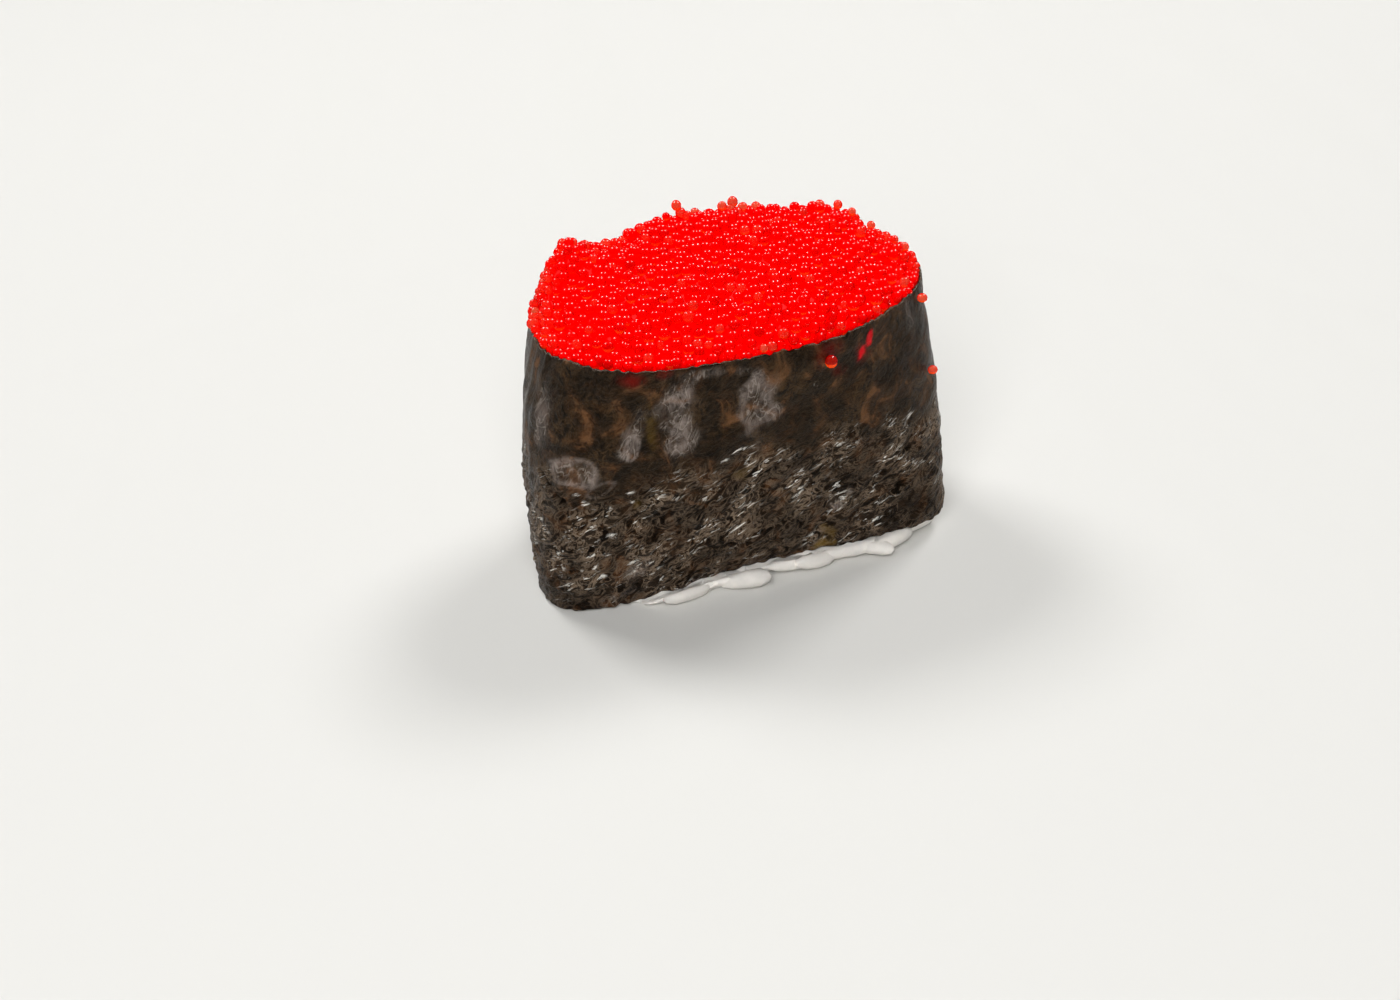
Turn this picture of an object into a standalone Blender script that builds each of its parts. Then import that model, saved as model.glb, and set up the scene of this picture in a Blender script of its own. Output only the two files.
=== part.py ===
"""Flying fish roe gunkan: a rice block, a band of nori around it and a heap of red roe on top.

Lengths in the dimensions below are millimetres; the meshes are made in metres, +Z up.
+X is the length of the piece, -Y the side that the photograph shows.
"""

import math

import bmesh
import bpy
import numpy as np
from mathutils import Vector
from mathutils.geometry import delaunay_2d_cdt

MM = 0.001

# Band of nori
BAND_HEIGHT = 32.6
SHEET = 0.4
GAP = 0.3
OVERLAP_SHARE = 0.10
OVERLAP_CLEARANCE = 0.2
BAND_COLUMNS = 72
BAND_ROWS = 5
BACK_RIM_RISE = 1.1
RIM_WAVE = 0.18
FOOT_EDGE_LEFT = 0.45
FOOT_EDGE_MIDDLE = 1.6
FOOT_EDGE_RIGHT = 2.45

# Outline of the band at the rim: reach to the left, right, front and back, squareness of the corners
RIM_LEFT = 23.5
RIM_RIGHT = 24.7
RIM_FRONT = 14.0
RIM_BACK = 17.4
RIM_SQUARE_FRONT_LEFT = 2.3
RIM_SQUARE_FRONT_RIGHT = 2.15
RIM_SQUARE_BACK_LEFT = 2.55
RIM_SQUARE_BACK_RIGHT = 2.1
RIM_SHIFT = 1.0

# Outline of the band at the foot
FOOT_LEFT = 26.3
FOOT_RIGHT = 26.6
FOOT_FRONT = 12.3
FOOT_BACK = 14.5
FOOT_SQUARE_FRONT_LEFT = 2.07
FOOT_SQUARE_BACK_LEFT = 2.2
FOOT_SQUARE_RIGHT = 3.3
FOOT_LEFT_END_FORWARD = 6.9
FOOT_RIGHT_END_FORWARD = 5.5
BELLY = 0.9
BELLY_LEFT = 1.6

# Rice
RICE_TOP = 17.0
RICE_COLUMNS = 48
GRAIN_HALF = (3.0, 1.3, 0.8)
GRAIN_COUNT = 30

# Heap of roe
EGG_PITCH = 1.58
EGG_RADIUS = 0.68
HEAP_RISE = 4.6
HEAP_FLATNESS_FRONT = 2.4
HEAP_FLATNESS_BACK = 4.5
HEAP_ROLL_OFF = 0.8
HEAP_COLUMNS = 64
PROUD_EGGS = 24
CROWN_CORNERS = 5
SEED = 7

# Eggs that lie on the band: share of the way round, share of the height, radius
STRAY_EGGS = ((0.564, 0.91, 0.76), (0.742, 0.82, 0.62), (0.725, 0.52, 0.60))


def smoothstep(low: float, high: float, value):
    """Returns a smooth ramp from 0 at low to 1 at high."""
    share = np.clip((value - low) / (high - low), 0.0, 1.0)
    return share * share * (3.0 - 2.0 * share)


def dense_outline(h: float) -> np.ndarray:
    """Returns the closed outline of the band at one height share, from the middle of the back round by the left."""
    angle = np.linspace(0.0, 2.0 * math.pi, 1441) + math.pi / 2.0 + 0.0007
    c, s = np.cos(angle), np.sin(angle)
    left, back = c < 0.0, s > 0.0
    rim_square = np.where(back, np.where(left, RIM_SQUARE_BACK_LEFT, RIM_SQUARE_BACK_RIGHT),
                          np.where(left, RIM_SQUARE_FRONT_LEFT, RIM_SQUARE_FRONT_RIGHT))
    foot_square = np.where(left, np.where(back, FOOT_SQUARE_BACK_LEFT, FOOT_SQUARE_FRONT_LEFT), FOOT_SQUARE_RIGHT)
    square = foot_square * (1.0 - h) + rim_square * h
    swell = 4.0 * h * (1.0 - h)
    belly = BELLY * swell
    half_length = np.where(left, FOOT_LEFT, FOOT_RIGHT) * (1.0 - h) + np.where(left, RIM_LEFT, RIM_RIGHT) * h
    half_length = half_length + np.where(left, BELLY_LEFT, BELLY) * swell
    depth = np.where(back, FOOT_BACK, FOOT_FRONT) * (1.0 - h) + np.where(back, RIM_BACK, RIM_FRONT) * h + belly
    x_share = np.sign(c) * np.abs(c) ** (2.0 / square)
    y_share = np.sign(s) * np.abs(s) ** (2.0 / square)
    forward = np.where(left, FOOT_LEFT_END_FORWARD, FOOT_RIGHT_END_FORWARD) * (1.0 - h) * x_share ** 2
    return np.stack([RIM_SHIFT * h + half_length * x_share, depth * y_share - forward], axis=1)


def outline(share: np.ndarray, h: float, outward: np.ndarray | float = 0.0) -> np.ndarray:
    """Returns points on the band's outer outline at one height share.

    Args:
        share: Shares of the way round by length, from the middle of the back round by the left end.
        h: Height share, 0 at the foot and 1 at the rim.
        outward: Offset along the outline's normal, positive outward.
    """
    loop = dense_outline(h)
    steps = np.hypot(*np.diff(loop, axis=0).T)
    length = np.concatenate([[0.0], np.cumsum(steps)])
    length /= length[-1]

    def at(where):
        where = np.mod(where, 1.0)
        return np.stack([np.interp(where, length, loop[:, 0]), np.interp(where, length, loop[:, 1])], axis=1)

    tangent = at(share + 0.006) - at(share - 0.006)
    tangent /= np.linalg.norm(tangent, axis=1, keepdims=True)
    normal = np.stack([tangent[:, 1], -tangent[:, 0]], axis=1)
    return at(share) + normal * np.reshape(outward, (-1, 1))


def foot_edge(x: np.ndarray) -> np.ndarray:
    """Returns the height of the band's lower edge over the floor along the length."""
    middle = FOOT_EDGE_LEFT + (FOOT_EDGE_MIDDLE - FOOT_EDGE_LEFT) * smoothstep(-18.0, 0.0, x)
    return middle + (FOOT_EDGE_RIGHT - FOOT_EDGE_MIDDLE) * smoothstep(0.0, 22.0, x)


def rim_edge(share: np.ndarray, y: np.ndarray) -> np.ndarray:
    """Returns the height of the band's rim: a little higher at the back, slightly wavy."""
    wave = np.sin(2.0 * math.pi * 3.0 * share + 0.8) + 0.6 * np.sin(2.0 * math.pi * 7.0 * share)
    return BAND_HEIGHT + BACK_RIM_RISE * smoothstep(2.0, 15.0, y) + RIM_WAVE * wave


def band_points(share: np.ndarray, h: float, outward: np.ndarray | float) -> np.ndarray:
    """Returns 3-D points of the band at one height share."""
    flat = outline(share, h, outward)
    low = foot_edge(flat[:, 0])
    high = rim_edge(share, flat[:, 1])
    return np.column_stack([flat, low + (high - low) * h])


def wall_ring(share: np.ndarray, height: float, outward: float) -> np.ndarray:
    """Returns points at one height over the floor that follow the band's outline, also below its lower edge."""
    table = np.array([band_points(share, h, outward) for h in np.linspace(0.0, 1.0, 21)])
    flat = [[np.interp(height, table[:, i, 2], table[:, i, axis]) for axis in (0, 1)] for i in range(len(share))]
    return np.column_stack([flat, np.full(len(share), height)])


def make_material(name: str, colour: tuple, roughness: float) -> bpy.types.Material:
    """Returns a Principled material with one colour and roughness."""
    material = bpy.data.materials.new(name)
    material.use_nodes = True
    shader = material.node_tree.nodes["Principled BSDF"]
    shader.inputs["Base Color"].default_value = (*colour, 1.0)
    shader.inputs["Roughness"].default_value = roughness
    material.diffuse_color = (*colour, 1.0)
    return material


def make_object(name: str, points: np.ndarray, faces: list, collection=None) -> bpy.types.Object:
    """Returns a new object whose mesh has these points in millimetres, with faces turned outward."""
    mesh = bpy.data.meshes.new(name)
    mesh.from_pydata((np.asarray(points) * MM).tolist(), [], faces)
    work = bmesh.new()
    work.from_mesh(mesh)
    bmesh.ops.recalc_face_normals(work, faces=work.faces)
    work.to_mesh(mesh)
    work.free()
    new_object = bpy.data.objects.new(name, mesh)
    (collection or bpy.context.scene.collection).objects.link(new_object)
    return new_object


def loft(rings: list) -> tuple:
    """Returns points and faces of a closed solid through rings of equal count, with fan caps at both ends."""
    count = len(rings[0])
    points = np.concatenate(rings + [rings[0].mean(axis=0)[None], rings[-1].mean(axis=0)[None]])
    faces = []
    for row in range(len(rings) - 1):
        for column in range(count):
            after = (column + 1) % count
            a, b = row * count + column, row * count + after
            faces.append((a, b, b + count, a + count))
    bottom, top = len(rings) * count, len(rings) * count + 1
    last = (len(rings) - 1) * count
    for column in range(count):
        after = (column + 1) % count
        faces.append((bottom, after, column))
        faces.append((top, last + column, last + after))
    return points, faces


def rounded_bead(centre, radii, segments: int, rings: int, turn) -> tuple:
    """Returns points and faces of a faceted ellipsoid turned by a 3x3 matrix."""
    points = [(0.0, 0.0, 1.0)]
    for ring in range(1, rings):
        polar = math.pi * ring / rings
        for segment in range(segments):
            angle = 2.0 * math.pi * (segment + 0.5 * (ring % 2)) / segments
            points.append((math.sin(polar) * math.cos(angle), math.sin(polar) * math.sin(angle), math.cos(polar)))
    points.append((0.0, 0.0, -1.0))
    last = len(points) - 1
    faces = []
    for segment in range(segments):
        after = (segment + 1) % segments
        faces.append((0, 1 + segment, 1 + after))
        base = 1 + (rings - 2) * segments
        faces.append((last, base + after, base + segment))
        for ring in range(rings - 2):
            a, b = 1 + ring * segments + segment, 1 + ring * segments + after
            faces.append((a, a + segments, b + segments, b))
    return np.array(points) * np.asarray(radii) @ np.asarray(turn).T + np.asarray(centre), faces


def random_turn(draw: np.random.Generator) -> np.ndarray:
    """Returns a random rotation matrix."""
    q = draw.normal(size=4)
    w, x, y, z = q / np.linalg.norm(q)
    return np.array([
        [1 - 2 * (y * y + z * z), 2 * (x * y - z * w), 2 * (x * z + y * w)],
        [2 * (x * y + z * w), 1 - 2 * (x * x + z * z), 2 * (y * z - x * w)],
        [2 * (x * z - y * w), 2 * (y * z + x * w), 1 - 2 * (x * x + y * y)],
    ])


def fuse(target: bpy.types.Object, beads: list) -> None:
    """Fuses beads with a solid by one Boolean union, then drops loose scraps and fills sealed hollows.

    Args:
        target: The solid that keeps its name.
        beads: Pairs of points and faces, in millimetres.
    """
    collection = bpy.data.collections.new(target.name + "_beads")
    bpy.context.scene.collection.children.link(collection)
    for number, (points, faces) in enumerate(beads):
        make_object(f"{target.name}_bead_{number}", points, faces, collection)
    union = target.modifiers.new("union", "BOOLEAN")
    union.operation = "UNION"
    union.operand_type = "COLLECTION"
    union.collection = collection
    union.solver = "MANIFOLD"
    depsgraph = bpy.context.evaluated_depsgraph_get()
    fused = bpy.data.meshes.new_from_object(target.evaluated_get(depsgraph))
    target.modifiers.remove(union)
    plain = target.data
    target.data = fused
    bpy.data.meshes.remove(plain)
    for bead in list(collection.objects):
        mesh = bead.data
        bpy.data.objects.remove(bead)
        bpy.data.meshes.remove(mesh)
    bpy.data.collections.remove(collection)
    keep_largest_shell(target.data)
    target.data.name = target.name


def keep_largest_shell(mesh: bpy.types.Mesh) -> None:
    """Keeps only the connected shell with the most faces and removes sliver faces."""
    work = bmesh.new()
    work.from_mesh(mesh)
    bmesh.ops.remove_doubles(work, verts=work.verts, dist=0.00001)
    bmesh.ops.dissolve_degenerate(work, edges=work.edges, dist=0.00001)
    bmesh.ops.triangulate(work, faces=work.faces)
    unseen = set(work.verts)
    shells = []
    while unseen:
        start = unseen.pop()
        shell, front = {start}, [start]
        while front:
            for edge in front.pop().link_edges:
                for vertex in edge.verts:
                    if vertex in unseen:
                        unseen.discard(vertex)
                        shell.add(vertex)
                        front.append(vertex)
        shells.append(shell)
    shells.sort(key=len, reverse=True)
    for shell in shells[1:]:
        bmesh.ops.delete(work, geom=list(shell), context="VERTS")
    bmesh.ops.recalc_face_normals(work, faces=work.faces)
    work.to_mesh(mesh)
    work.free()


def build_nori(material: bpy.types.Material) -> bpy.types.Object:
    """Returns the band: one sheet wrapped once round, its outer end lapping over its inner end at the back."""
    start = -OVERLAP_SHARE / 2.0
    share = np.linspace(start, 1.0 + OVERLAP_SHARE / 2.0, BAND_COLUMNS + 1)
    lift = (SHEET + OVERLAP_CLEARANCE) * smoothstep(1.0 - 1.4 * OVERLAP_SHARE, 1.0 - 0.55 * OVERLAP_SHARE, share)
    heights = np.linspace(0.0, 1.0, BAND_ROWS + 1)
    outer = [band_points(share, h, lift) for h in heights]
    inner = [band_points(share, h, lift - SHEET) for h in heights]
    for row, h in enumerate(heights):
        inner[row][:, 2] = outer[row][:, 2]
    count = len(share)
    points = np.concatenate(outer + inner)
    shift = len(heights) * count
    faces = []
    for row in range(BAND_ROWS):
        for column in range(BAND_COLUMNS):
            a = row * count + column
            faces.append((a, a + 1, a + 1 + count, a + count))
            faces.append((a + shift, a + count + shift, a + 1 + count + shift, a + 1 + shift))
    for column in range(BAND_COLUMNS):
        top = BAND_ROWS * count + column
        faces.append((column + 1, column, column + shift, column + 1 + shift))
        faces.append((top, top + 1, top + 1 + shift, top + shift))
    for row in range(BAND_ROWS):
        for column, flip in ((0, False), (BAND_COLUMNS, True)):
            a = row * count + column
            face = (a, a + count, a + count + shift, a + shift)
            faces.append(face[::-1] if flip else face)
    nori = make_object("nori", points, faces)
    beads = []
    for where, h, radius in STRAY_EGGS:
        centre = band_points(np.array([where]), h, radius - 0.25)[0]
        beads.append(rounded_bead(centre, (radius,) * 3, 6, 4, np.eye(3)))
    fuse(nori, beads)
    nori.data.materials.clear()
    nori.data.materials.append(material)
    return nori


def build_rice(material: bpy.types.Material) -> bpy.types.Object:
    """Returns the rice: a pressed block that fills the foot of the band, with grains fused round its foot."""
    draw = np.random.default_rng(SEED)
    share = np.arange(RICE_COLUMNS) / RICE_COLUMNS
    inset = -(SHEET + GAP)
    rings = []
    for height in (0.0, 1.0, 9.0, RICE_TOP - 1.0, RICE_TOP):
        extra = 0.8 if height == RICE_TOP else (0.35 if height == 0.0 else 0.0)
        rings.append(wall_ring(share, height, inset - extra))
    points, faces = loft(rings)
    rice = make_object("rice", points, faces)
    beads = []
    for where in (np.arange(GRAIN_COUNT) + draw.uniform(-0.25, 0.25, GRAIN_COUNT)) / GRAIN_COUNT:
        spot = outline(np.array([where]), 0.02, inset - draw.uniform(-0.35, 0.55))[0]
        edge = float(foot_edge(np.array([spot[0]]))[0])
        if edge < 0.9:
            continue
        along = outline(np.array([where + 0.01]), 0.02)[0] - outline(np.array([where - 0.01]), 0.02)[0]
        yaw = math.atan2(along[1], along[0]) + draw.uniform(-0.75, 0.75)
        turn = np.array([[math.cos(yaw), -math.sin(yaw), 0.0], [math.sin(yaw), math.cos(yaw), 0.0], [0.0, 0.0, 1.0]])
        size = np.array(GRAIN_HALF) * draw.uniform(0.85, 1.1)
        centre = (spot[0], spot[1], 0.78)
        grain, grain_faces = rounded_bead(centre, size, 6, 4, turn)
        grain[:, 2] = np.clip(grain[:, 2], draw.uniform(0.03, 0.12), foot_edge(grain[:, 0]) - GAP)
        beads.append((grain, grain_faces))
    fuse(rice, beads)
    rice.data.materials.clear()
    rice.data.materials.append(material)
    return rice


def heap_outline_share(points: np.ndarray) -> np.ndarray:
    """Returns for each flat point its share of the way from the heap's middle (0) to its edge (1)."""
    count = 240
    border = outline(np.arange(count) / count, 1.0, -(SHEET + GAP))
    middle = np.array([RIM_SHIFT, 1.0])
    border_angle = np.arctan2(border[:, 1] - middle[1], border[:, 0] - middle[0])
    border_reach = np.hypot(border[:, 0] - middle[0], border[:, 1] - middle[1])
    order = np.argsort(border_angle)
    away = points - middle
    reach = np.interp(np.arctan2(away[:, 1], away[:, 0]), border_angle[order], border_reach[order],
                      period=2.0 * math.pi)
    return np.hypot(away[:, 0], away[:, 1]) / reach


def heap_height(points: np.ndarray) -> np.ndarray:
    """Returns the height of the heap's smooth surface over flat points.

    The heap has a nearly flat crown that rolls off steeply to the rim, a shoulder and a dent at the back left,
    and a step down to the rim at the front left.
    """
    x, y = points[:, 0], points[:, 1]
    share = np.clip(heap_outline_share(points), 0.0, 1.0)
    flatness = HEAP_FLATNESS_FRONT + (HEAP_FLATNESS_BACK - HEAP_FLATNESS_FRONT) * smoothstep(-5.0, 6.0, y)
    crown = HEAP_RISE * (1.0 - share ** flatness) ** HEAP_ROLL_OFF
    shoulder = 2.8 * np.exp(-(((x + 15.5) / 4.0) ** 2 + ((y - 12.0) / 4.0) ** 2))
    dent = 1.5 * np.exp(-(((x + 8.5) / 2.6) ** 2 + ((y - 13.0) / 4.0) ** 2))
    step = 1.3 * smoothstep(-6.0, -10.0, y) * smoothstep(2.0, -8.0, x)
    tilt = 0.45 * x / 25.0 * (1.0 - share ** 2)
    rim = BAND_HEIGHT + BACK_RIM_RISE * smoothstep(2.0, 15.0, y)
    return rim - 0.25 + crown + tilt + (shoulder - dent - step) * (1.0 - share ** 8)


def relaxed_eggs(draw: np.random.Generator) -> np.ndarray:
    """Returns egg middles spread evenly over the heap's outline: two rings along the rim, then the inside."""
    rings = []
    for inset in (0.72, 2.05):
        border = outline(np.arange(400) / 400, 1.0, -(SHEET + GAP + inset))
        around = np.hypot(*np.diff(np.vstack([border, border[:1]]), axis=0).T).sum()
        count = int(around / EGG_PITCH)
        where = (np.arange(count) + draw.uniform(-0.12, 0.12, count)) / count
        rings.append(outline(where, 1.0, -(SHEET + GAP + inset)))
    fixed = np.vstack(rings)
    row = EGG_PITCH * math.sqrt(3.0) / 2.0
    grid = [(EGG_PITCH * (i + 0.5 * (j % 2)), row * j) for i in range(-20, 21) for j in range(-16, 17)]
    inside = np.array(grid) + draw.normal(0.0, 0.13, (len(grid), 2))
    limit = outline(np.arange(400) / 400, 1.0, -(SHEET + GAP + 2.05 + 0.62 * EGG_PITCH))
    inside = inside[inside_polygon(inside, limit)]
    room = outline(np.arange(400) / 400, 1.0, -(SHEET + GAP))
    samples = draw.uniform((-26.0, -15.0), (27.0, 18.5), (16000, 2))
    samples = samples[inside_polygon(samples, room)]
    for _ in range(8):
        eggs = np.vstack([inside, fixed])
        nearest = ((samples[:, None, :] - eggs[None]) ** 2).sum(axis=2).argmin(axis=1)
        totals = np.zeros((len(eggs), 3))
        np.add.at(totals, nearest, np.column_stack([samples, np.ones(len(samples))]))
        moved = totals[:len(inside)]
        inside = np.where(moved[:, 2:] > 0, moved[:, :2] / np.maximum(moved[:, 2:], 1.0), inside)
    return np.vstack([inside, fixed])


def inside_polygon(points: np.ndarray, polygon: np.ndarray) -> np.ndarray:
    """Returns which flat points lie inside a closed polygon."""
    inside = np.zeros(len(points), dtype=bool)
    for (x0, y0), (x1, y1) in zip(polygon, np.roll(polygon, -1, axis=0)):
        crosses = (y0 > points[:, 1]) != (y1 > points[:, 1])
        if y0 != y1:
            inside ^= crosses & (points[:, 0] < (x1 - x0) * (points[:, 1] - y0) / (y1 - y0) + x0)
    return inside


def build_roe(material: bpy.types.Material) -> bpy.types.Object:
    """Returns the heap: a core inside the band whose top is bumps of true egg size, with whole eggs fused on."""
    draw = np.random.default_rng(SEED + 1)
    eggs = relaxed_eggs(draw)
    share = np.arange(HEAP_COLUMNS) / HEAP_COLUMNS
    border = outline(share, 1.0, -(SHEET + GAP))
    anchors = [Vector(p) for p in np.vstack([eggs, border])]
    loop = [(len(eggs) + i, len(eggs) + (i + 1) % HEAP_COLUMNS) for i in range(HEAP_COLUMNS)]
    spots, _, triangles = delaunay_2d_cdt(anchors, loop, [], 1, 1e-6)[:3]
    spots = np.array([tuple(v) for v in spots])
    valleys = np.array([spots[list(t)].mean(axis=0) for t in triangles])
    rim_distance = np.sqrt(((valleys[:, None] - border[None]) ** 2).sum(axis=2)).min(axis=1)
    valleys = valleys[rim_distance > 0.45]
    turns = draw.uniform(0.0, math.tau / CROWN_CORNERS, len(eggs))
    reach = 0.5 * draw.uniform(0.88, 1.12, len(eggs))
    crowns = []
    for corner in range(CROWN_CORNERS):
        angle = turns + corner * math.tau / CROWN_CORNERS
        crowns.append(eggs + np.column_stack([np.cos(angle), np.sin(angle)]) * reach[:, None])
    crowns = np.concatenate(crowns)
    lifts = np.tile(draw.normal(0.0, 0.10, len(eggs)), CROWN_CORNERS)
    keep = inside_polygon(crowns, outline(np.arange(400) / 400, 1.0, -(SHEET + GAP + 0.12)))
    crowns, lifts = crowns[keep], lifts[keep]
    flat = np.vstack([border, valleys, crowns])
    fixed_loop = [(i, (i + 1) % HEAP_COLUMNS) for i in range(HEAP_COLUMNS)]
    verts, _, faces, sources = delaunay_2d_cdt([Vector(p) for p in flat], fixed_loop, [], 1, 1e-6)[:4]
    verts = np.array([tuple(v) for v in verts])
    source = np.array([s[0] if s else -1 for s in sources])
    base = heap_height(verts)
    height = base.copy()
    is_valley = (source >= HEAP_COLUMNS) & (source < HEAP_COLUMNS + len(valleys))
    is_crown = source >= HEAP_COLUMNS + len(valleys)
    height[is_valley] -= 0.42
    height[is_crown] += 0.16 + lifts[source[is_crown] - HEAP_COLUMNS - len(valleys)]
    top = np.column_stack([verts, height])
    border_at = np.full(HEAP_COLUMNS, -1)
    for index, where in enumerate(source):
        if 0 <= where < HEAP_COLUMNS:
            border_at[where] = index
    top[border_at, 2] = rim_edge(share, border[:, 1]) - 0.45
    rings = []
    for level in (0.62, 0.3, 0.0):
        height = RICE_TOP + GAP + (BAND_HEIGHT - RICE_TOP - GAP) * level
        rings.append(wall_ring(share, height, -(SHEET + GAP)))
    points = np.vstack([top] + rings + [rings[-1].mean(axis=0)[None]])
    solid = [tuple(face) for face in faces]
    upper = border_at
    for row in range(len(rings)):
        lower = len(top) + row * HEAP_COLUMNS + np.arange(HEAP_COLUMNS)
        for i in range(HEAP_COLUMNS):
            j = (i + 1) % HEAP_COLUMNS
            solid.append((int(upper[i]), int(upper[j]), int(lower[j]), int(lower[i])))
        upper = lower
    middle = len(points) - 1
    for i in range(HEAP_COLUMNS):
        solid.append((int(upper[i]), int(upper[(i + 1) % HEAP_COLUMNS]), middle))
    roe = make_object("roe", points, solid)
    fuse(roe, proud_eggs(draw, eggs))
    roe.data.materials.clear()
    roe.data.materials.append(material)
    return roe


def proud_eggs(draw: np.random.Generator, eggs: np.ndarray) -> list:
    """Returns whole eggs that stand proud of the heap, evenly spread, as faceted beads."""
    share = heap_outline_share(eggs)
    chosen = []
    order = draw.permutation(len(eggs))
    for spacing in (5.2, 4.2, 3.4):
        for index in order:
            if len(chosen) >= PROUD_EGGS:
                break
            far = all(np.hypot(*(eggs[index] - eggs[other])) > spacing for other in chosen)
            if far and share[index] < 0.955:
                chosen.append(index)
    beads = []
    for index in chosen:
        radius = EGG_RADIUS * draw.uniform(0.95, 1.12)
        spot = eggs[index] + draw.normal(0.0, 0.2, 2)
        height = float(heap_height(spot[None])[0]) + draw.uniform(0.1, 0.42)
        beads.append(rounded_bead((*spot, height), (radius,) * 3, 6, 4, random_turn(draw)))
    return beads


def centre_on_origin(objects: list) -> None:
    """Moves all meshes together so that the box round them stands centred on the origin, on the floor."""
    corners = []
    for item in objects:
        points = np.empty(len(item.data.vertices) * 3)
        item.data.vertices.foreach_get("co", points)
        points = points.reshape(-1, 3)
        corners += [points.min(axis=0), points.max(axis=0)]
    low, high = np.min(corners, axis=0), np.max(corners, axis=0)
    shift = Vector((-(low[0] + high[0]) / 2.0, -(low[1] + high[1]) / 2.0, -low[2]))
    for item in objects:
        for vertex in item.data.vertices:
            vertex.co += shift
    print("moved by", [round(v * 1000.0, 3) for v in shift], "size", [round(v * 1000.0, 2) for v in high - low])


def main() -> None:
    """Builds the three pieces."""
    for item in list(bpy.data.objects):
        bpy.data.objects.remove(item)
    rice = build_rice(make_material("rice_cooked", (0.86, 0.86, 0.83), 0.35))
    nori = build_nori(make_material("nori_sheet", (0.018, 0.014, 0.011), 0.45))
    roe = build_roe(make_material("roe_eggs", (0.80, 0.005, 0.004), 0.2))
    centre_on_origin([rice, nori, roe])
    for item in (rice, nori, roe):
        print(item.name, "faces", len(item.data.polygons))


main()
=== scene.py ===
"""Looks of a flying fish roe gunkan: a standing band of nori, rice in its foot and red eggs in its top.

Sizes in the classes are millimetres, and the meshes are written in metres. +X is the length, -Y the side
that the photograph shows and +Z up. A place on the band is its length along it from the middle of the back,
round by the left end, and its height over the floor.
"""

import logging
import math
from dataclasses import dataclass
from enum import Enum

import bpy
import numpy as np
from mathutils import Matrix


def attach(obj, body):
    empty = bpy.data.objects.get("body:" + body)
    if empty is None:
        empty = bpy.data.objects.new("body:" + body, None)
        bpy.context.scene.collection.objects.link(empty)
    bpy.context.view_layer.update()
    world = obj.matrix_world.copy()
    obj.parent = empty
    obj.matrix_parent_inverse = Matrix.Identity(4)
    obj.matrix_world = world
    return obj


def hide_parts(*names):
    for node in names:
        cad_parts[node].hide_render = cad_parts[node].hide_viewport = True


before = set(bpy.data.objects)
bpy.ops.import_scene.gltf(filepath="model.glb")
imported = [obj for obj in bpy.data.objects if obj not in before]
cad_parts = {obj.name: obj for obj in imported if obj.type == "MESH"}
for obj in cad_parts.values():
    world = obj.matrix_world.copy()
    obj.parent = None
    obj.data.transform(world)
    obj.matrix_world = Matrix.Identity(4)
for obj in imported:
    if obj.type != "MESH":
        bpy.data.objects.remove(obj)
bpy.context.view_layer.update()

MM = 0.001
LOG = logging.getLogger("gunkan")
SEED = 41
CHART_MM = 100.0


class Slot(Enum):
    """Material slots of the record."""

    RICE = "rice"
    NORI = "nori"
    ROE = "roe"


# Small helpers


def linear(code: str) -> tuple[float, float, float, float]:
    """Turns an sRGB hex colour into linear values.

    Args:
        code: Six hex digits.

    Returns:
        Linear red, green and blue, and full alpha.
    """
    parts = [int(code[i:i + 2], 16) / 255.0 for i in (0, 2, 4)]
    red, green, blue = (p / 12.92 if p <= 0.04045 else ((p + 0.055) / 1.055) ** 2.4 for p in parts)
    return red, green, blue, 1.0


def smoothstep(low: float, high: float, value: np.ndarray) -> np.ndarray:
    """Ramps smoothly from 0 at low to 1 at high.

    Args:
        low: Value that gives 0.
        high: Value that gives 1.
        value: Values to ramp.

    Returns:
        Shares from 0 to 1.
    """
    share = np.clip((value - low) / (high - low), 0.0, 1.0)
    return share * share * (3.0 - 2.0 * share)


def ripple(points: np.ndarray, wavelength: float, seed: int, waves: int = 28) -> np.ndarray:
    """Smooth random relief: a sum of plane waves with random directions, phases and nearby wavelengths.

    Args:
        points: Places in millimetres, one row each.
        wavelength: Middle wavelength in millimetres.
        seed: Seed of the draws.
        waves: Number of waves.

    Returns:
        Values round 0, mostly from -1 to 1, one for each place.
    """
    draw = np.random.default_rng(seed)
    direction = draw.normal(size=(waves, points.shape[1]))
    direction /= np.linalg.norm(direction, axis=1, keepdims=True)
    length = wavelength * draw.uniform(0.65, 1.5, waves)
    phase = draw.uniform(0.0, math.tau, waves)
    return np.cos(points @ (direction.T * (math.tau / length)) + phase).sum(axis=1) / math.sqrt(waves)


def random_turns(draw: np.random.Generator, count: int) -> np.ndarray:
    """Draws rotation matrices evenly over all turns, from random unit quaternions.

    Args:
        draw: Random generator.
        count: Number of matrices.

    Returns:
        Array of count 3 by 3 matrices.
    """
    q = draw.normal(size=(count, 4))
    w, x, y, z = (q / np.linalg.norm(q, axis=1, keepdims=True)).T
    rows = [
        [1 - 2 * (y * y + z * z), 2 * (x * y - z * w), 2 * (x * z + y * w)],
        [2 * (x * y + z * w), 1 - 2 * (x * x + z * z), 2 * (y * z - x * w)],
        [2 * (x * z - y * w), 2 * (y * z + x * w), 1 - 2 * (x * x + y * y)],
    ]
    return np.moveaxis(np.array(rows), 2, 0)


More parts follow.
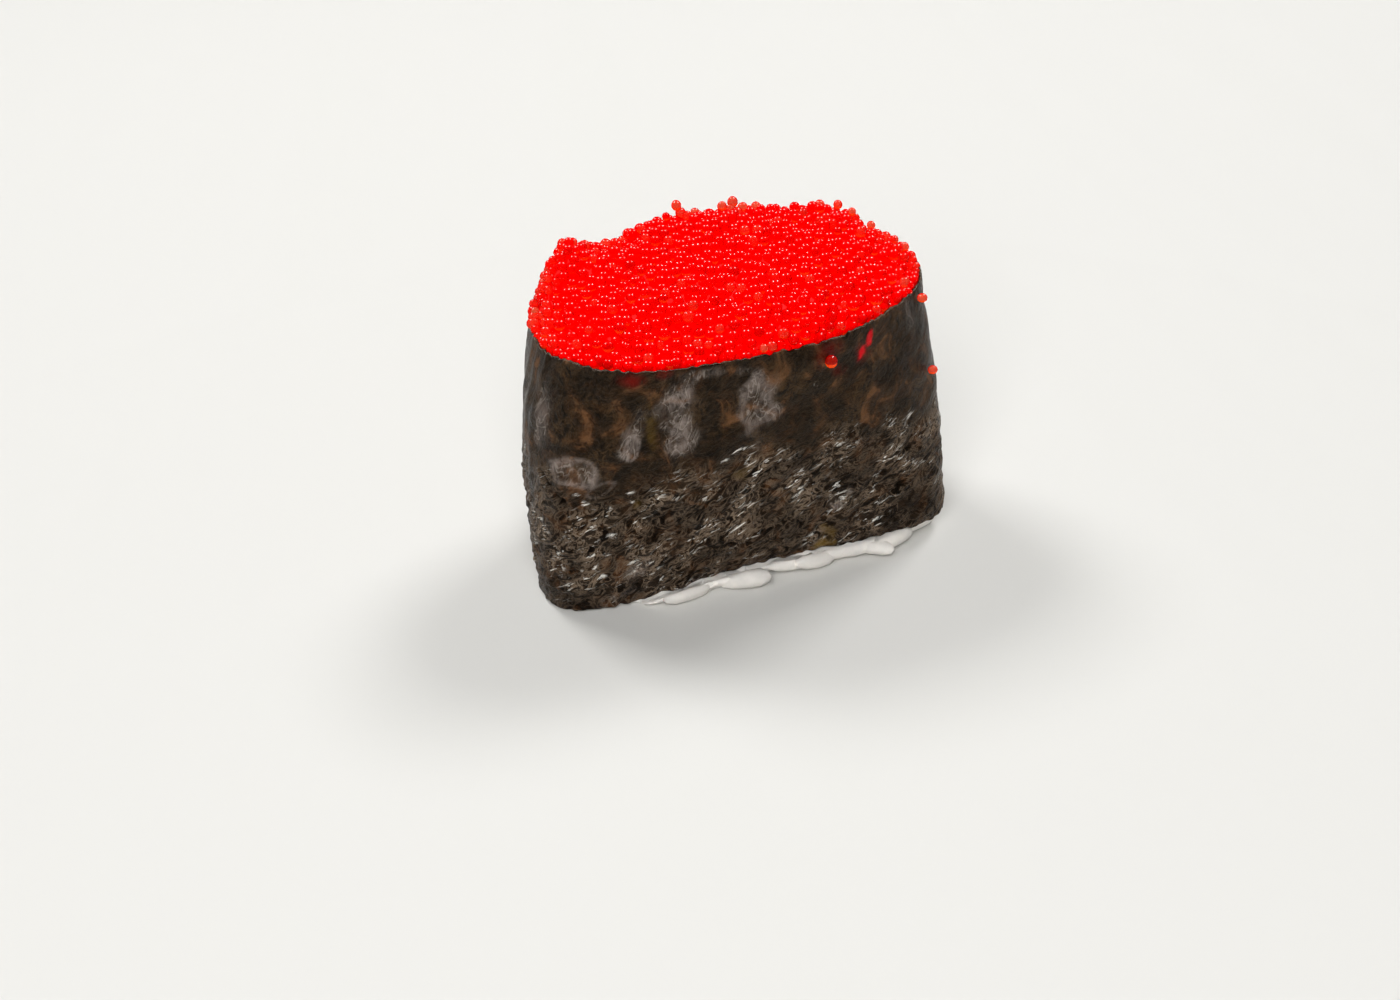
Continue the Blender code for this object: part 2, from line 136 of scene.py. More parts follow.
def grid_faces(rows: int, columns: int, closed: bool, first: int = 0) -> np.ndarray:
    """Quads between the points of a grid stored row by row.

    Args:
        rows: Number of rows of points.
        columns: Number of points in a row.
        closed: Whether the last column joins the first.
        first: Index of the first point.

    Returns:
        Point indices, four to a face.
    """
    row = np.arange(rows - 1)[:, None] * columns
    column = np.arange(columns if closed else columns - 1)[None]
    after = (column + 1) % columns
    quads = np.stack([row + column, row + after, row + columns + after, row + columns + column], axis=-1)
    return quads.reshape(-1, 4) + first


def fan_faces(middle: int, ring: np.ndarray) -> np.ndarray:
    """Triangles from one point to the points of a closed ring.

    Args:
        middle: Index of the middle point.
        ring: Indices round the ring.

    Returns:
        Point indices, three to a face.
    """
    return np.stack([np.full(len(ring), middle), ring, np.roll(ring, -1)], axis=1)


def closed_rings(rings: list[np.ndarray]) -> tuple[np.ndarray, list[np.ndarray]]:
    """Closed skin over rings of points, each end shut by a fan from the middle of its ring.

    Args:
        rings: Places of each ring, in order from the bottom.

    Returns:
        Points, and faces as quads and triangles.
    """
    points = np.concatenate([rings[0].mean(axis=0)[None]] + rings + [rings[-1].mean(axis=0)[None]])
    count = len(rings[0])
    first = 1 + np.arange(count)
    last = first + (len(rings) - 1) * count
    fans = np.concatenate([fan_faces(0, first)[:, ::-1], fan_faces(len(points) - 1, last)])
    return points, [grid_faces(len(rings), count, True, 1), fans]


def add_object(name: str, data: bpy.types.ID, axes: np.ndarray | None = None,
               place: np.ndarray | None = None) -> bpy.types.Object:
    """Adds an object to the scene, turned and moved where it is given axes and a place.

    Args:
        name: Name of the object.
        data: Its mesh, light or camera.
        axes: Its own axes in the world, as columns.
        place: Its place in metres.

    Returns:
        The new object.
    """
    thing = bpy.data.objects.new(name, data)
    if axes is not None:
        matrix = np.eye(4)
        matrix[:3, :3], matrix[:3, 3] = axes, place
        thing.matrix_world = Matrix(matrix.tolist())
    bpy.context.scene.collection.objects.link(thing)
    return thing


def make_piece(name: str, points: np.ndarray, faces: list[np.ndarray], material: bpy.types.Material,
               replaced: str, attributes: dict[str, np.ndarray] | None = None,
               chart: np.ndarray | None = None) -> bpy.types.Object:
    """Args:
        name: Name of the piece.
        points: Places in millimetres.
        faces: Arrays of faces, each array with one number of corners.
        material: Its material.
        replaced: CAD node that it stands for.
        attributes: Values for each point, by attribute name.
        chart: A flat place for each point, written as the piece's UV map.

    Returns:
        The new object.
    """
    corners = np.concatenate([f.reshape(-1) for f in faces])
    sizes = np.concatenate([np.full(len(f), f.shape[1]) for f in faces])
    starts = np.concatenate([[0], np.cumsum(sizes)[:-1]])
    mesh = bpy.data.meshes.new(name)
    mesh.vertices.add(len(points))
    mesh.vertices.foreach_set("co", (points * MM).astype(np.float32).ravel())
    mesh.loops.add(len(corners))
    mesh.loops.foreach_set("vertex_index", corners.astype(np.int32))
    mesh.polygons.add(len(sizes))
    mesh.polygons.foreach_set("loop_start", starts.astype(np.int32))
    mesh.update(calc_edges=True)
    mesh.validate()
    mesh.shade_smooth()
    for key, values in (attributes or {}).items():
        mesh.attributes.new(key, "FLOAT", "POINT").data.foreach_set("value", values.astype(np.float32))
    if chart is not None:
        chart_layer = mesh.uv_layers.new(name="band")
        chart_layer.uv.foreach_set("vector", chart[corners].astype(np.float32).ravel())
    mesh.materials.append(material)
    piece = add_object(name, mesh)
    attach(piece, "root")
    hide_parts(replaced)
    LOG.info("%s: %d points, %d triangles", name, len(points), int((sizes - 2).sum()))
    return piece


def set_inputs(tree: bpy.types.NodeTree, node: bpy.types.Node, inputs: dict) -> None:
    """Sets inputs of a node to values, or links them to sockets.

    Args:
        tree: Node tree.
        node: The node.
        inputs: Value or source socket for each input, by name or number.
    """
    for key, value in inputs.items():
        if isinstance(value, bpy.types.NodeSocket):
            tree.links.new(value, node.inputs[key])
        else:
            node.inputs[key].default_value = value


def add_node(tree: bpy.types.NodeTree, kind: str, inputs: dict | None = None, stops: list | None = None,
             **settings: object) -> bpy.types.Node:
    """Adds a node with its settings, input values and links.

    Args:
        tree: Node tree.
        kind: Node type.
        inputs: Value or source socket for each input, by name or number.
        stops: Place and colour of each stop of a colour ramp.
        settings: Node properties.

    Returns:
        The new node.
    """
    node = tree.nodes.new(kind)
    for key, value in settings.items():
        setattr(node, key, value)
    set_inputs(tree, node, inputs or {})
    if stops:
        elements = node.color_ramp.elements
        while len(elements) < len(stops):
            elements.new(1.0)
        for element, (place, colour) in zip(elements, stops):
            element.position = place
            element.color = colour
    return node


def layered(tree: bpy.types.NodeTree, colour: bpy.types.NodeSocket,
            layers: list[tuple]) -> bpy.types.NodeSocket:
    """Covers a colour with layers, each by a smooth ramp of its pattern.

    Args:
        tree: Node tree.
        colour: The colour below.
        layers: Pattern, start and end of the ramp, most that it may cover, and colour code of each layer.

    Returns:
        The colour with every layer on it.
    """
    for pattern, low, high, most, code in layers:
        cover = add_node(tree, "ShaderNodeMapRange", {"Value": pattern, "From Min": low, "From Max": high,
                                                      "To Min": 0.0, "To Max": most},
                         interpolation_type="SMOOTHSTEP").outputs[0]
        colour = add_node(tree, "ShaderNodeMix", {0: cover, 6: colour, 7: linear(code)},
                          data_type="RGBA").outputs[2]
    return colour


def new_material(name: str) -> tuple[bpy.types.Material, bpy.types.NodeTree, bpy.types.Node]:
    """Makes a material with a Principled shader.

    Args:
        name: Name of the material.

    Returns:
        The material, its node tree and its shader.
    """
    material = bpy.data.materials.new(name)
    material.use_nodes = True
    tree = material.node_tree
    return material, tree, tree.nodes["Principled BSDF"]


# Finishes


@dataclass(frozen=True)
class ToastedNori:
    """Toasted nori: dried, pressed seaweed, a near-black sheet of matted fibres.

    It gives the eye a dark brown mottle with hair-fine paler fibres, short slanted painted glints where rice
    presses from behind, painted highlights on the ridges of its crumple and painted shade in its pits and
    folds, grey films with paler outlines where starch has dried on it, streaks of painted sheen, and red
    stain under the roe.
    """

    dark: str = "020101"
    middle: str = "0c0502"
    brown: str = "28170a"
    pale: str = "66442a"
    hair: str = "4c3822"
    mid: str = "2a221b"
    # Colour of the painted highlights on the ridges of the crumple.
    painted_ridge_highlight: str = "988470"
    film_and_sheen: str = "a4968e"
    strand: str = "c4b8ac"
    # Colour of the painted glints: pale flecks that stand for light caught by the sheet.
    painted_glint: str = "fbf7ee"
    stain: str = "700404"
    tear: str = "e00018"
    olive: str = "8a6c28"
    mottle_mm: float = 4.0
    wisp_mm: float = 2.4
    curl_mm: float = 1.45
    fibre_mm: float = 0.5
    fibre_slant: float = 32.0
    fibre_stretch: float = 1.8
    glint_slant: float = 24.0
    glint_stretch: float = 3.8
    streak_mm: float = 1.8
    streak_slant: float = 82.0
    streak_stretch: float = 2.0
    vein_mm: float = 1.7
    grain_mm: float = 0.42
    frost_mm: float = 1.3
    relief_mm: float = 1.0

    def make(self) -> bpy.types.Material:
        """Builds the material on the band's chart, which is in units of CHART_MM.

        Each layer covers the ones before it by a smooth ramp of a pattern, at most by its mask from the mesh.

        Returns:
            The material.
        """
        material, tree, shader = new_material("nori_toasted_sheet")
        chart = add_node(tree, "ShaderNodeUVMap", uv_map="band").outputs["UV"]
        masks = {key: add_node(tree, "ShaderNodeAttribute", attribute_name=key).outputs["Fac"]
                 for key in ("hairs", "crumple", "ridge_sheen", "pit_shade", "film_and_sheen", "strand", "outline", "shade",
                             "crease_and_shade", "stain", "tear", "olive", "glint", "shine", "relief")}
        slants = ((self.fibre_slant, self.fibre_stretch), (self.glint_slant, self.glint_stretch),
                  (self.streak_slant, self.streak_stretch))
        slanted, drawn, upright = (
            add_node(tree, "ShaderNodeMapping", {"Vector": chart, "Scale": (stretch, 1.0, 1.0),
                                                 "Rotation": (0.0, 0.0, math.radians(angle))},
                     vector_type="TEXTURE").outputs[0] for angle, stretch in slants)
        mottle, wisps, curls, fibres, streaks, veins, grain, frost = (
            add_node(tree, "ShaderNodeTexNoise", {"Vector": where, "Scale": CHART_MM / size, "Detail": detail,
                                                  "Roughness": rough, "Distortion": twist}).outputs["Fac"]
            for where, size, detail, rough, twist in (
                (chart, self.mottle_mm, 8.0, 0.64, 0.9), (chart, self.wisp_mm, 6.0, 0.75, 1.6),
                (slanted, self.curl_mm, 5.0, 0.62, 1.8), (drawn, self.fibre_mm, 4.0, 0.66, 0.7),
                (upright, self.streak_mm, 7.0, 0.72, 1.5), (upright, self.vein_mm, 2.5, 0.5, 1.6),
                (chart, self.grain_mm, 3.0, 0.65, 0.3), (chart, self.frost_mm, 6.0, 0.80, 1.2)))
        hairs, ridges, strands = (
            add_node(tree, "ShaderNodeMath", {0: noise, 1: 0.5}, operation="PINGPONG").outputs[0]
            for noise in (wisps, curls, veins))
        matted = add_node(tree, "ShaderNodeMix", {0: 0.34, 2: curls, 3: grain}).outputs[0]
        colour = add_node(tree, "ShaderNodeValToRGB", {"Fac": mottle},
                          stops=[(0.42, linear(self.dark)), (0.48, linear(self.middle)),
                                 (0.56, linear(self.brown)), (0.66, linear(self.pale))]).outputs["Color"]
        layers = (
            (streaks, 0.50, 0.68, "hairs", self.hair), (hairs, 0.42, 0.50, "hairs", self.hair),
            # ridges: painted highlights along the ridges of the crumple.
            (matted, 0.42, 0.56, "crumple", self.mid), (ridges, 0.43, 0.50, "ridge_sheen", self.painted_ridge_highlight),
            # The film colour also paints streaks of sheen on the left end: a painted reflection.
            (streaks, 0.34, 0.66, "film_and_sheen", self.film_and_sheen), (strands, 0.455, 0.50, "strand", self.strand),
            # pits: painted shade, dark where the crumple's bump is low.
            (frost, 0.30, 0.60, "outline", self.film_and_sheen), (matted, 0.48, 0.37, "pit_shade", self.dark),
            # The crease layer here paints shade into the folds.
            (streaks, 0.30, 0.60, "shade", self.dark), (frost, 0.0, 0.1, "crease_and_shade", self.dark),
            (streaks, 0.30, 0.55, "stain", self.stain), (frost, 0.25, 0.50, "olive", self.olive),
            # glint and shine: painted glints, pale flecks in the colour where the sheet would catch light.
            (fibres, 0.59, 0.635, "glint", self.painted_glint), (fibres, 0.49, 0.57, "shine", self.painted_glint),
            (frost, 0.25, 0.50, "tear", self.tear),
        )
        colour = layered(tree, colour, [(pattern, low, high, masks[mask], code)
                                        for pattern, low, high, mask, code in layers])
        rough = add_node(tree, "ShaderNodeMapRange", {"Value": mottle, "From Min": 0.35, "From Max": 0.65,
                                                      "To Min": 0.28, "To Max": 0.5}).outputs[0]
        soft = add_node(tree, "ShaderNodeBump", {"Height": wisps, "Strength": 0.35,
                                                 "Distance": self.relief_mm * MM}).outputs[0]
        bump = add_node(tree, "ShaderNodeBump", {"Height": matted, "Strength": masks["relief"],
                                                 "Normal": soft, "Distance": self.relief_mm * MM}).outputs[0]
        set_inputs(tree, shader, {
            "Base Color": colour, "Roughness": rough, "Normal": bump, "IOR": 1.35,
            "Specular IOR Level": 0.3, "Specular Tint": (1.0, 0.76, 0.54, 1.0),
        })
        return material


@dataclass(frozen=True)
class FishRoe:
    """Flying fish roe: thin clear egg skins filled with dyed red juice.

    It gives the eye wet beads, each with pinpoints of light near its top, a saturated red body kept bright by
    a painted glow and painted darker at its rim as shade, a painted paler middle on the more open ones, and
    on some a painted orange crescent low down where light that has passed through it gathers. Eggs deeper in
    the heap have a finish of their own, with more painted glow and another name.
    """

    deep: str = "7c0000"
    body: str = "f00000"
    rim: str = "960002"
    glow: str = "ff4810"
    pale: str = "c84e36"
    painted_glow_strength: float = 0.22
    name: str = "roe_dyed_eggs"

    def make(self) -> bpy.types.Material:
        """Builds the material from the eggs' own lift, tint, glow and openness.

        Returns:
            The material.
        """
        material, tree, shader = new_material(self.name)
        masks = {key: add_node(tree, "ShaderNodeAttribute", attribute_name=key).outputs["Fac"]
                 for key in ("egg_lift", "egg_tint", "egg_glow", "egg_open")}
        facing = add_node(tree, "ShaderNodeLayerWeight", {"Blend": 0.5}).outputs["Facing"]
        tints = {0: masks["egg_tint"], 6: linear(self.deep), 7: linear(self.body)}
        colour = add_node(tree, "ShaderNodeMix", tints, data_type="RGBA").outputs[2]
        # rim: painted shade, darker red where the egg's surface turns away from the eye.
        colour = layered(tree, colour, [(facing, 0.45, 0.95, 0.8, self.rim),
                                        # pale: a painted paler middle on open eggs, light seen through them.
                                        (facing, 0.75, 0.15, masks["egg_open"], self.pale),
                                        # glow: a painted orange crescent of light low on the egg.
                                        (masks["egg_lift"], 0.12, -0.30, masks["egg_glow"], self.glow)])
        set_inputs(tree, shader, {
            # Emission in the egg's colour: a painted glow that keeps the body saturated red in its shade.
            "Base Color": colour, "Emission Color": colour, "Emission Strength": self.painted_glow_strength,
            "Roughness": 0.6, "IOR": 1.4, "Specular IOR Level": 0.0, "Subsurface Weight": 0.6,
            "Subsurface Radius": (1.0, 0.05, 0.03), "Subsurface Scale": 0.8 * MM, "Coat Weight": 0.3,
            "Coat Roughness": 0.22, "Coat IOR": 1.4,
        })
        return material


@dataclass(frozen=True)
class RoeJuice:
    """The dyed juice and crushed eggs deep in the heap: matt red with a painted glow, seen between eggs."""

    colour: str = "f00000"
    dark: str = "c00000"

    def make(self) -> bpy.types.Material:
        """Builds the material from two reds in soft spots.

        Returns:
            The material.
        """
        material, tree, shader = new_material("roe_juice_between_eggs")
        spots = add_node(tree, "ShaderNodeTexCoord")
        noise = add_node(tree, "ShaderNodeTexNoise", {"Vector": spots.outputs["Object"], "Scale": 900.0})
        tone = add_node(tree, "ShaderNodeValToRGB", {"Fac": noise.outputs["Fac"]},
                        stops=[(0.3, linear(self.dark)), (0.7, linear(self.colour))])
        set_inputs(tree, shader, {
            # Emission: a painted glow, so the juice in the gaps shows red instead of shade.
            "Base Color": tone.outputs["Color"], "Emission Color": tone.outputs["Color"],
            "Emission Strength": 0.6, "Roughness": 0.8, "Specular IOR Level": 0.1,
        })
        return material


@dataclass(frozen=True)
class CookedRice:
    """Cooked short-grain rice: moist steamed starch, white and milky with soft wet highlights."""

    milky: str = "f4efe8"
    clear: str = "e0dcd6"

    def make(self) -> bpy.types.Material:
        """Builds the material from a cloudy white and a clearer one, with a fine bump.

        Returns:
            The material.
        """
        material, tree, shader = new_material("rice_cooked_moist")
        place = add_node(tree, "ShaderNodeTexCoord")
        cloud = add_node(tree, "ShaderNodeTexNoise", {"Vector": place.outputs["Object"], "Scale": 380.0,
                                                      "Detail": 3.0})
        tone = add_node(tree, "ShaderNodeValToRGB", {"Fac": cloud.outputs["Fac"]},
                        stops=[(0.35, linear(self.clear)), (0.7, linear(self.milky))])
        fine = add_node(tree, "ShaderNodeTexNoise", {"Vector": place.outputs["Object"], "Scale": 1600.0})
        bump = add_node(tree, "ShaderNodeBump", {"Height": fine.outputs["Fac"], "Strength": 0.2,
                                                 "Distance": 0.08 * MM})
        shader.subsurface_method = "BURLEY"
        set_inputs(tree, shader, {
            "Base Color": tone.outputs["Color"], "Normal": bump.outputs[0], "Roughness": 0.28, "IOR": 1.42,
            "Specular IOR Level": 0.3, "Subsurface Weight": 0.6, "Subsurface Radius": (1.0, 0.9, 0.8),
            "Subsurface Scale": 1.0 * MM,
        })
        return material


# Shape of the whole


@dataclass(frozen=True)
class BandShape:
    """Where the band stands: an upright loop, long and nearly flat-fronted at the foot and oval above."""

    height: float = 32.6
    back_rise: float = 1.1
    rim_wave: float = 0.18
    edge_left: float = 0.45
    edge_middle: float = 1.6
    edge_right: float = 2.45
    rim_left: float = 23.5
    rim_right: float = 24.7
    rim_front: float = 14.0
    rim_back: float = 17.4
    rim_square: tuple[float, float, float, float] = (2.3, 2.15, 2.25, 2.1)
    rim_shift: float = 1.0
    foot_left: float = 26.3
    foot_right: float = 26.6
    foot_front: float = 12.3
    foot_back: float = 14.5
    foot_square: tuple[float, float, float, float] = (2.07, 3.3, 2.2, 3.3)
    left_forward: float = 6.9
    right_forward: float = 5.5
    belly: float = 0.9
    belly_left: float = 1.6
    belly_right: float = 0.2
    stand: tuple[float, float] = (-0.707, -1.476)
    loop_points: int = 1441
    loop_start: float = 0.0007
    tangent_step: float = 0.006
    heading_step: float = 0.01
    foot_share: float = 0.02

    def loop(self, h: float) -> np.ndarray:
        """Closed outline at one height share: four quarters of superellipses, each x and y reach being the
        cosine and sine to the power 2 over the squareness, with the ends drawn forward at the foot.

        Args:
            h: Height share, 0 at the foot and 1 at the rim.

        Returns:
            Flat places round the loop, from the middle of the back by the left.
        """
        angle = np.linspace(0.0, math.tau, self.loop_points) + math.pi / 2.0 + self.loop_start
        c, s = np.cos(angle), np.sin(angle)
        left, back = c < 0.0, s > 0.0
        quarter = np.where(back, 2, 0) + np.where(left, 0, 1)
        square = np.array(self.foot_square)[quarter] * (1.0 - h) + np.array(self.rim_square)[quarter] * h
        swell = 4.0 * h * (1.0 - h)
        reach = np.where(left, self.foot_left, self.foot_right) * (1.0 - h)
        reach = reach + np.where(left, self.rim_left, self.rim_right) * h
        reach = reach + np.where(left, self.belly_left, self.belly_right) * swell
        depth = np.where(back, self.foot_back, self.foot_front) * (1.0 - h)
        depth = depth + np.where(back, self.rim_back, self.rim_front) * h + self.belly * swell
        x = np.sign(c) * np.abs(c) ** (2.0 / square)
        y = np.sign(s) * np.abs(s) ** (2.0 / square)
        forward = np.where(left, self.left_forward, self.right_forward) * (1.0 - h) * x ** 2
        return np.stack([self.rim_shift * h + reach * x, depth * y - forward], axis=1)

    def flat(self, share: np.ndarray, h: float, outward: np.ndarray | float = 0.0) -> np.ndarray:
        """Flat places on the outline, set off along its normal.

        Args:
            share: Shares of the way round by length.
            h: Height share.
            outward: Offset outward in millimetres.

        Returns:
            Flat places, not yet moved to the stand.
        """
        loop = self.loop(h)
        length = np.concatenate([[0.0], np.cumsum(np.hypot(*np.diff(loop, axis=0).T))])
        length /= length[-1]
        sampled = [np.stack([np.interp(np.mod(share + step, 1.0), length, loop[:, axis]) for axis in (0, 1)],
                            axis=1) for step in (-self.tangent_step, 0.0, self.tangent_step)]
        tangent = sampled[2] - sampled[0]
        tangent /= np.linalg.norm(tangent, axis=1, keepdims=True)
        normal = np.stack([tangent[:, 1], -tangent[:, 0]], axis=1)
        return sampled[1] + normal * np.reshape(outward, (-1, 1))

    def foot_edge(self, x: np.ndarray) -> np.ndarray:
        """Height of the band's lower edge along the length.

        Args:
            x: Places along the length.

        Returns:
            Heights over the floor.
        """
        height = self.edge_left + (self.edge_middle - self.edge_left) * smoothstep(-18.0, 0.0, x)
        return height + (self.edge_right - self.edge_middle) * smoothstep(0.0, 22.0, x)

    def rim_edge(self, share: np.ndarray, y: np.ndarray) -> np.ndarray:
        """Height of the band's rim, slightly wavy and higher at the back.

        Args:
            share: Shares of the way round.
            y: Places from front to back.

        Returns:
            Heights over the floor.
        """
        wave = np.sin(math.tau * 3.0 * share + 0.8) + 0.6 * np.sin(math.tau * 7.0 * share)
        return self.height + self.back_rise * smoothstep(2.0, 15.0, y) + self.rim_wave * wave

    def wall(self, share: np.ndarray, h: float, outward: np.ndarray | float = 0.0) -> np.ndarray:
        """Places on the band at one height share, not yet moved to the stand.

        Args:
            share: Shares of the way round.
            h: Height share.
            outward: Offset outward in millimetres.

        Returns:
            Places in space.
        """
        flat = self.flat(share, h, outward)
        low, high = self.foot_edge(flat[:, 0]), self.rim_edge(share, flat[:, 1])
        return np.column_stack([flat, low + (high - low) * h])

    def ring(self, share: np.ndarray, height: float, outward: float) -> np.ndarray:
        """Places at one height over the floor that follow the band, also below its lower edge.

        Args:
            share: Shares of the way round.
            height: Height over the floor.
            outward: Offset outward in millimetres.

        Returns:
            Places in space, not yet moved to the stand.
        """
        table = np.array([self.wall(share, h, outward) for h in np.linspace(0.0, 1.0, 21)])
        flat = [[np.interp(height, table[:, i, 2], table[:, i, axis]) for axis in (0, 1)]
                for i in range(len(share))]
        return np.column_stack([flat, np.full(len(share), height)])

    def heading(self, share: np.ndarray) -> np.ndarray:
        """Direction of the way round near the foot."""
        step, h = self.heading_step, self.foot_share
        return self.flat(share + step, h) - self.flat(share - step, h)

    def placed(self, points: np.ndarray) -> np.ndarray:
        """Points moved so that the whole piece stands over the origin."""
        return points + np.array([*self.stand, 0.0])


@dataclass(frozen=True)
class Mark:
    """A soft-edged oval place on the band: along it, height, half sizes, slant in degrees and strength."""

    along: float
    up: float
    half_length: float
    half_height: float
    slant: float = 0.0
    strength: float = 1.0

    def cover(self, along: np.ndarray, up: np.ndarray, rough: np.ndarray, fade: float = 0.75) -> np.ndarray:
        """Share of the mark at places on the band: 1 less the oval distance, roughened, smoothed at its edge.

        Args:
            along: Lengths along the band.
            up: Heights.
            rough: Relief that makes the edge uneven.
            fade: Width of the soft edge, as a share of the half sizes.

        Returns:
            Shares from 0 to the strength.
        """
        turn = math.radians(self.slant)
        a, b = along - self.along, up - self.up
        across = (a * math.cos(turn) + b * math.sin(turn)) / self.half_length
        over = (b * math.cos(turn) - a * math.sin(turn)) / self.half_height
        return self.strength * smoothstep(0.0, fade, 1.0 - np.hypot(across, over) + 0.28 * rough)


@dataclass(frozen=True)
class NoriBand:
    """The band of nori: one thin sheet wrapped once round, its ends lapping at the back."""

    shape: BandShape
    finish: ToastedNori
    length: float = 139.9
    sheet: float = 0.26
    lap_share: float = 0.10
    lap_lift: float = 0.6
    columns: int = 600
    rows: int = 136
    grain_marks: int = 210
    grain_half: tuple[float, float] = (2.7, 1.2)
    grain_push: float = 0.34
    rice_level: float = 18.6

    film_and_sheen: tuple[Mark, ...] = (
        Mark(45.4, 20.8, 2.5, 1.7, 12.0, 0.75), Mark(48.0, 19.8, 2.3, 1.9, -16.0, 0.6),
        Mark(46.0, 18.6, 1.4, 1.0, 30.0, 0.5), Mark(53.2, 24.6, 1.5, 5.0, -14.0, 0.95),
        Mark(58.4, 29.0, 3.1, 3.4, 0.0, 1.2), Mark(59.0, 25.0, 2.7, 4.8, 0.0, 1.2),
        Mark(68.6, 26.6, 2.7, 5.8, -8.0, 0.9), Mark(70.9, 25.2, 1.3, 1.6, 0.0, 0.6),
        Mark(61.5, 31.6, 5.0, 0.9, 0.0, 0.6), Mark(41.0, 25.6, 2.0, 6.5, -4.0, 0.65),
        # The narrow marks at 34.6, 37.0 and 40.0 along paint the left end's sheen streaks: a painted
        # reflection.
        Mark(34.6, 22.0, 0.5, 9.5, 3.0, 0.6), Mark(37.0, 23.0, 0.3, 7.0, 3.0, 0.6),
        Mark(40.0, 14.0, 0.4, 6.0, -6.0, 0.3), Mark(52.7, 5.3, 2.8, 2.2, 20.0, 0.6),
        Mark(49.5, 2.2, 3.4, 0.7, 12.0, 0.5), Mark(78.5, 8.6, 1.2, 1.3, 20.0, 0.8),
        Mark(80.3, 10.4, 0.8, 1.2, 0.0, 0.5), Mark(91.9, 30.0, 1.6, 4.0, 0.0, 0.4),
        Mark(66.0, 31.4, 2.0, 1.0, 0.0, 0.5),
    )
    outline: tuple[Mark, ...] = (
        Mark(46.6, 20.2, 3.6, 2.7, 6.0), Mark(58.9, 24.0, 1.5, 2.2, -8.0),
        Mark(53.2, 23.2, 1.1, 2.6, -12.0), Mark(57.0, 25.8, 0.6, 0.6),
        Mark(68.2, 26.4, 2.5, 5.0, -8.0, 0.7), Mark(49.6, 17.8, 2.4, 0.9, 25.0, 0.6),
    )
    shade: tuple[Mark, ...] = (
        Mark(42.0, 29.0, 3.4, 4.0, 0.0, 0.75), Mark(43.0, 3.2, 5.6, 4.2, 0.0, 1.0),
        Mark(74.5, 17.5, 7.0, 2.2, 4.0, 0.5), Mark(50.0, 14.0, 5.0, 1.2, -8.0, 0.4),
        Mark(87.0, 26.0, 3.0, 4.0, 0.0, 0.5), Mark(38.6, 18.0, 1.6, 12.0, 2.0, 0.6),
        Mark(86.0, 5.0, 7.0, 4.0, 6.0, 0.8), Mark(63.0, 5.5, 4.0, 2.2, 10.0, 0.4),
        Mark(80.0, 12.5, 6.0, 3.0, 12.0, 0.5), Mark(35.4, 12.0, 2.4, 9.0, 0.0, 0.7),
    )
    # Folds in the relief, also painted dark: painted shade in them.
    crease_and_shade: tuple[Mark, ...] = (Mark(42.3, 18.0, 2.0, 0.6, -44.0), Mark(44.4, 16.1, 1.3, 0.5, -40.0),
                                Mark(50.0, 11.9, 0.9, 0.3, -8.0, 0.9), Mark(47.6, 9.7, 0.6, 0.3, 0.0, 0.8))
    stain: tuple[Mark, ...] = (
        Mark(52.6, 31.7, 2.6, 1.3), Mark(56.5, 32.3, 1.6, 0.8, 0.0, 0.7),
        Mark(77.6, 30.9, 2.6, 2.0, 0.0, 0.8), Mark(79.2, 28.4, 1.5, 1.0, 0.0, 0.5),
        Mark(82.6, 29.6, 1.7, 2.2, 30.0, 0.7),
    )
    tear: tuple[Mark, ...] = (Mark(82.6, 29.4, 0.6, 1.1, -32.0), Mark(84.0, 30.7, 0.55, 1.3, -12.0))
    olive: tuple[Mark, ...] = (
        Mark(76.4, 2.7, 2.0, 1.1, 0.0), Mark(77.2, 4.6, 1.2, 1.6, 30.0, 0.45),
        Mark(55.6, 25.4, 0.9, 3.4, 4.0, 0.22), Mark(66.5, 17.0, 1.6, 1.3, 20.0, 0.22),
        Mark(53.8, 15.6, 0.8, 1.2, 0.0, 0.25),
    )
